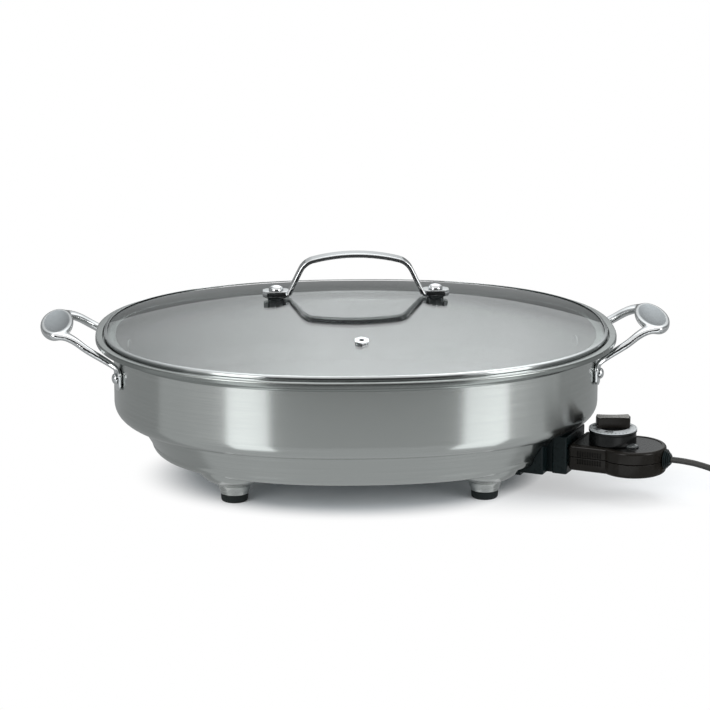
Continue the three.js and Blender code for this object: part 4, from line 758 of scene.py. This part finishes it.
dress(rubber, "coil_tie")
# Moulded PVC: an even dark grey.
dress(surface("pvc_moulded_plug", "#1c1c1b", "#272726", 0, (0.4, 0.52), (2, 2, 2), 0.01), "plug_body")

# Lid glass: tempered soda-lime, pressed to a low dome. It is bored for the two handle screws before it is
# tempered.

GLASS_HALF, GLASS_EDGE, GLASS_RISE, GLASS_THICK = 200, 121, 26.5, 3.6
DOME_STEPS = 24
LID_SCREW_X = 63.5


def glass_top(half):
    """The height of the glass's upper face on the oval that is half wide, in mm."""
    return GLASS_EDGE + GLASS_RISE * (1 - (half / GLASS_HALF) ** 2)


halves = [GLASS_HALF * step / DOME_STEPS for step in range(DOME_STEPS + 1)]
dome = [(half, glass_top(half) - GLASS_THICK) for half in halves]
dome += [(half, glass_top(half)) for half in reversed(halves)]
glass = on_oval(turned(dome, OVAL_SIDES, closed=False))
for x in (-LID_SCREW_X, LID_SCREW_X):
    glass = combined(glass, moved(rod(4.2, 130, 160), Matrix.Translation((x * MM, 0, 0))))
# Tempered glass, fire-polished: clear with a faint green, and a full mirror at a low angle.
tempered = surface("glass_tempered_pressed", "#eef4f2", "#f6faf9", 0, 0, (70, 70, 70), detail=1.0,
                   Transmission_Weight=1.0, IOR=1.52)
piece("lid_glass_pressed", glass, [tempered], "lid", "glass", "lid_glass")

# Lid band: stainless strip rolled to a channel, drawn round the glass and pressed over its edge. It is what
# sits on the pan's ledge.

band_outline = eased([(197, 116.3), (200.6, 116.3, 0.5), (200.6, 121.6, 1.1), (198, 122.7, 0.3), (198, 121.9),
                      (200.1, 121.1), (200.1, 117.1), (197, 117.1)])
# Rolled and polished stainless: bright, a little softer than a mirror.
band_steel = surface("stainless_rolled_polished", "#aeb1b1", "#bcbfbf", 1, (0.1, 0.16), (60, 60, 0.6), 0.001)
piece("lid_band", on_oval(turned(band_outline, OVAL_SIDES)), [band_steel], "lid", "chrome", "lid_rim")

# Lid handle: a polished stainless bar bent to an arch, its ends turned out flat with clipped corners, each held
# by a dome screw through the glass over a soft washer and into a hex nut below.

ARCH_TOP, ARCH_THICK, ARCH_HALF_WIDE = 181.9, 3.4, 6.5
TAB_LOW, TAB_HIGH = 146.23, 151.6
TAB_CORNERS = [(-10.75, -3.2), (-7.4, -6.7), (7.4, -6.7), (10.75, -3.2), (10.75, 3.2), (7.4, 6.7), (-7.4, 6.7),
               (-10.75, 3.2)]


def arch_side(inset):
    """The arch from the middle of its top to its foot, drawn in by an inset, as (x, z). A wide crown curve meets
    a tight corner curve, and a straight leg leans out below."""
    crown, corner, lean, foot_x, foot_z = 140, 17, math.radians(64), 55.4, 148.18
    middle, inward = ARCH_TOP - crown, crown - corner
    share = (math.sin(lean) * foot_x + math.cos(lean) * (foot_z - middle) - corner) / inward
    turn = lean - math.acos(share)
    x, z = inward * math.sin(turn), middle + inward * math.cos(turn)
    points = [((crown - inset) * math.sin(turn * k / 10), middle + (crown - inset) * math.cos(turn * k / 10))
              for k in range(10)]
    points += [(x + (corner - inset) * math.sin(a), z + (corner - inset) * math.cos(a))
               for a in (turn + (lean - turn) * k / 12 for k in range(13))]
    last_x, last_z = points[-1]
    return points + [(last_x + (last_z - foot_z) / math.tan(lean), foot_z)]


outer, inner = arch_side(0), arch_side(ARCH_THICK)
bow_plan = [(-x, z) for x, z in reversed(outer[1:])] + outer + inner[::-1] + [(-x, z) for x, z in inner[1:]]
bow = moved(slab(bow_plan, -ARCH_HALF_WIDE, ARCH_HALF_WIDE, 1.0, 1.0, 4), Matrix.Rotation(math.pi / 2, 4, "X"))
for side in (-1, 1):
    tab = slab(TAB_CORNERS, TAB_LOW, TAB_HIGH, 1.4, 0.5, 3)
    bow = combined(bow, moved(tab, Matrix.Translation((side * LID_SCREW_X * MM, 0, 0))), "UNION")
# Polished stainless: a deep mirror.
mirror = surface("stainless_mirror_polished", "#d6d8d9", "#dfe1e2", 1, (0.03, 0.05), (30, 30, 30), detail=1.0)
piece("lid_arch", bow, [mirror], "lid", "chrome", "lid_handle", crease=25)

screw_outline = ([(0, 135.4), (2.2, 135.4), (2.2, 151.9), (5.9, 151.9), (5.9, 152.2)]
                 + quarter((5.9, 152.3), (0, 155.6), True, 10))
for side, name in ((-1, "left"), (1, "right")):
    at_screw = Matrix.Translation((side * LID_SCREW_X * MM, 0, 0))
    screw = moved(turned(screw_outline, 40, closed=False), at_screw)
    piece(f"dome_screw_{name}", screw, [mirror], "lid", "chrome", f"lid_screw_{name}")
dress(rubber, "lid_gasket_left", "lid_gasket_right")
dress(zinc, "lid_nut_left", "lid_nut_right")

# Vent: a six-sided stainless eyelet, as packed, swaged in the glass to let the steam out. The glass has no bore
# for it here, as the eyelet's flange and foot would hide its edge.

dress(mirror, "vent_grommet")

# Floor: a wide sheet of white paper that the skillet stands on. It keeps the skillet's shadow and runs out to
# plain white away from it.

# Where the shadow shows: the middle, half width and half depth of an oval in metres, the shares of it at which
# white sets in and is full, and how white its middle is. One is for the body and one for the control.
SHADOW_OVALS = (((0, 0), 0.165, 0.122, 0.76, 1.1, 0), ((0.17, -0.04), 0.19, 0.1, 0.3, 1.0, 0.45))
ground = bmesh.new()
bmesh.ops.create_grid(ground, x_segments=1, y_segments=1, size=30)
floor_mesh = as_mesh(ground, "floor")
# Uncoated paper: matt white with a faint cloud of fibre.
paper = surface("paper_uncoated_white", "#e9eef2", "#f0f4f8", 0, (0.85, 0.95), (40, 40, 40), 0.01)
tree = paper.node_tree
rays = add_node(tree, "ShaderNodeLightPath", {})
place = add_node(tree, "ShaderNodeTexCoord", {})
whiteness = []
for centre, wide, deep, start, end, least in SHADOW_OVALS:
    spot = add_node(tree, "ShaderNodeMapping", {
        "Vector": place.outputs["Object"], "Scale": (1 / wide, 1 / deep, 0),
        "Location": (-centre[0] / wide, -centre[1] / deep, 0)})
    reach = add_node(tree, "ShaderNodeVectorMath", {0: spot.outputs[0]}, operation="LENGTH")
    whiteness.append(add_node(tree, "ShaderNodeMapRange", {
        "Value": reach.outputs["Value"], "From Min": start, "From Max": end, "To Min": least},
        interpolation_type="SMOOTHSTEP"))
away = add_node(tree, "ShaderNodeMath", {0: whiteness[0].outputs[0], 1: whiteness[1].outputs[0]},
                operation="MINIMUM")
seen = add_node(tree, "ShaderNodeMath", {0: rays.outputs["Is Camera Ray"], 1: rays.outputs["Is Glossy Ray"]},
                operation="MAXIMUM")
seen = add_node(tree, "ShaderNodeMath", {0: seen.outputs[0], 1: rays.outputs["Is Transmission Ray"]},
                operation="MAXIMUM")
shown = add_node(tree, "ShaderNodeMath", {0: away.outputs[0], 1: seen.outputs[0]}, operation="MULTIPLY")
white = add_node(tree, "ShaderNodeEmission", {"Color": (1, 1, 1, 1), "Strength": 1.0})
lit = add_node(tree, "ShaderNodeMixShader", {0: shown.outputs[0], 1: tree.nodes["Principled BSDF"].outputs[0],
                                             2: white.outputs[0]})
tree.links.new(lit.outputs[0], tree.nodes["Material Output"].inputs["Surface"])
floor_mesh.materials.append(paper)
floor = bpy.data.objects.new("floor", floor_mesh)
scene.collection.objects.link(floor)

# Studio: white all round, two softboxes in front and a soft lamp overhead, and cards that only show in
# reflections. They stand for what a photographer sets round bright metal and glass: a sweep behind that
# brightens upwards, dark flags, grey boards on the table and at the sides, and two bright strips.

SKY_LIGHT = 0.62
world = bpy.data.worlds.new("studio")
world.use_nodes = True
scene.world = world
tree = world.node_tree
sky = tree.nodes["Background"]
sky.inputs["Color"].default_value = (1, 1, 1, 1)
rays = add_node(tree, "ShaderNodeLightPath", {})
mirrored = add_node(tree, "ShaderNodeMath",
                    {0: rays.outputs["Is Glossy Ray"], 1: rays.outputs["Is Transmission Ray"]},
                    operation="MAXIMUM")
shown = add_node(tree, "ShaderNodeMath", {0: rays.outputs["Is Camera Ray"], 1: mirrored.outputs[0]},
                 operation="MAXIMUM")
level = add_node(tree, "ShaderNodeMapRange", {"Value": shown.outputs[0], "To Min": SKY_LIGHT, "To Max": 1.0})
tree.links.new(level.outputs[0], sky.inputs["Strength"])


def lamp(name, place, target, wide, tall, watts):
    """A soft rectangular lamp aimed at a point, in metres."""
    light = bpy.data.lights.new(name, "AREA")
    light.shape, light.size, light.size_y, light.energy = "RECTANGLE", wide, tall, watts
    made = bpy.data.objects.new(name, light)
    made.location = place
    made.rotation_euler = (Vector(target) - Vector(place)).to_track_quat("-Z", "Y").to_euler()
    made.visible_transmission = False
    scene.collection.objects.link(made)
    return made


lamp("softbox_left", (-1.25, -1.55, 0.75), (0, 0, 0.09), 0.75, 1.1, 12)
lamp("softbox_right", (1.55, -1.2, 0.75), (0, 0, 0.09), 0.75, 1.1, 12)
overhead = lamp("overhead", (0, 0.2, 1.9), (0, 0, 0.1), 1.6, 1.2, 26)
overhead.visible_glossy = False

COOL_WHITE = 0.965, 0.992, 1, 1
THROUGH_THE_LID = 2.5  # more than the two steps of a ray that goes in at one face and out at the other


def card(name, level, *sheets):
    """Flat cards through corners in metres that only show in reflections, with a level of light."""
    bm = bmesh.new()
    for corners in sheets:
        bm.faces.new([bm.verts.new(corner) for corner in corners])
    mesh = as_mesh(bm, name)
    tone = bpy.data.materials.new(name)
    tone.use_nodes = True
    tree = tone.node_tree
    tree.nodes.remove(tree.nodes["Principled BSDF"])
    glow = add_node(tree, "ShaderNodeEmission", {"Color": COOL_WHITE, "Strength": level})
    # A ray straight through the lid passes the card. One that the lid's lower face throws back doesn't.
    rays = add_node(tree, "ShaderNodeLightPath", {})
    straight = add_node(tree, "ShaderNodeMath", {0: rays.outputs["Ray Depth"], 1: THROUGH_THE_LID},
                        operation="LESS_THAN")
    straight = add_node(tree, "ShaderNodeMath", {0: straight.outputs[0], 1: rays.outputs["Is Transmission Ray"]},
                        operation="MULTIPLY")
    gone = add_node(tree, "ShaderNodeBsdfTransparent", {})
    shown = add_node(tree, "ShaderNodeMixShader", {0: straight.outputs[0], 1: glow.outputs[0], 2: gone.outputs[0]})
    tree.links.new(shown.outputs[0], tree.nodes["Material Output"].inputs["Surface"])
    mesh.materials.append(tone)
    made = bpy.data.objects.new(name, mesh)
    made.visible_camera = made.visible_diffuse = made.visible_shadow = False
    scene.collection.objects.link(made)
    return tree, glow


def standing(x0, x1, y, z0, z1):
    """The corners of a standing sheet that faces the front."""
    return [(x0, y, z0), (x1, y, z0), (x1, y, z1), (x0, y, z1)]


def lying(x0, x1, y0, y1):
    """The corners of a sheet just over the table."""
    return [(x0, y0, 0.001), (x1, y0, 0.001), (x1, y1, 0.001), (x0, y1, 0.001)]


card("flag_back", 0.24, standing(-2.8, 2.8, 0.95, 0.0, 0.27))
card("flag_front", 0.03, standing(-1.6, 1.8, -2.9, 0.0, 1.9))
card("table_front", 0.55, lying(-1.5, 1.5, -0.62, -0.09))
card("table_far", 0.05, lying(-1.5, 1.5, -1.9, -0.62))
card("table_sides", 0.38, lying(-1.5, -0.115, -0.09, 0.9), lying(0.115, 1.5, -0.09, 0.9))
card("wings", 0.32, [(-2.4, 1.6, 0), (-2.6, -1.2, 0), (-2.6, -1.2, 2.4), (-2.4, 1.6, 2.4)],
     [(2.8, 1.6, 0), (3.0, -1.2, 0), (3.0, -1.2, 2.4), (2.8, 1.6, 2.4)])
card("strips", 1.55,
     [(-0.128, -0.156, 0.002), (-0.6, -0.63, 0.002), (-0.38, -0.78, 0.002), (-0.084, -0.175, 0.002)],
     [(0.088, -0.175, 0.002), (0.47, -0.74, 0.002), (0.67, -0.52, 0.002), (0.138, -0.149, 0.002)])
SWEEP_MIDDLE, SWEEP_SIDE_LEVEL = 0.25, 0.25
tree, glow = card("sweep", 1.0, standing(-2.4, 2.8, 1.6, 0.3, 3.2))
place = add_node(tree, "ShaderNodeTexCoord", {})
where = add_node(tree, "ShaderNodeSeparateXYZ", {0: place.outputs["Object"]})
rise = add_node(tree, "ShaderNodeMapRange", {"Value": where.outputs["Z"], "From Min": 0.45, "From Max": 2.1,
                                             "To Min": 0.66, "To Max": 3.95})
side = add_node(tree, "ShaderNodeMath", {0: where.outputs["X"], 1: SWEEP_MIDDLE}, operation="SUBTRACT")
side = add_node(tree, "ShaderNodeMath", {0: side.outputs[0]}, operation="ABSOLUTE")
fade = add_node(tree, "ShaderNodeMapRange", {"Value": side.outputs[0], "From Min": 0.25, "From Max": 1.4,
                                             "To Min": 1.0, "To Max": 0.0})
gain = add_node(tree, "ShaderNodeMapRange", {"Value": fade.outputs[0], "To Min": SWEEP_SIDE_LEVEL,
                                             "To Max": rise.outputs[0]})
tree.links.new(gain.outputs[0], glow.inputs["Strength"])
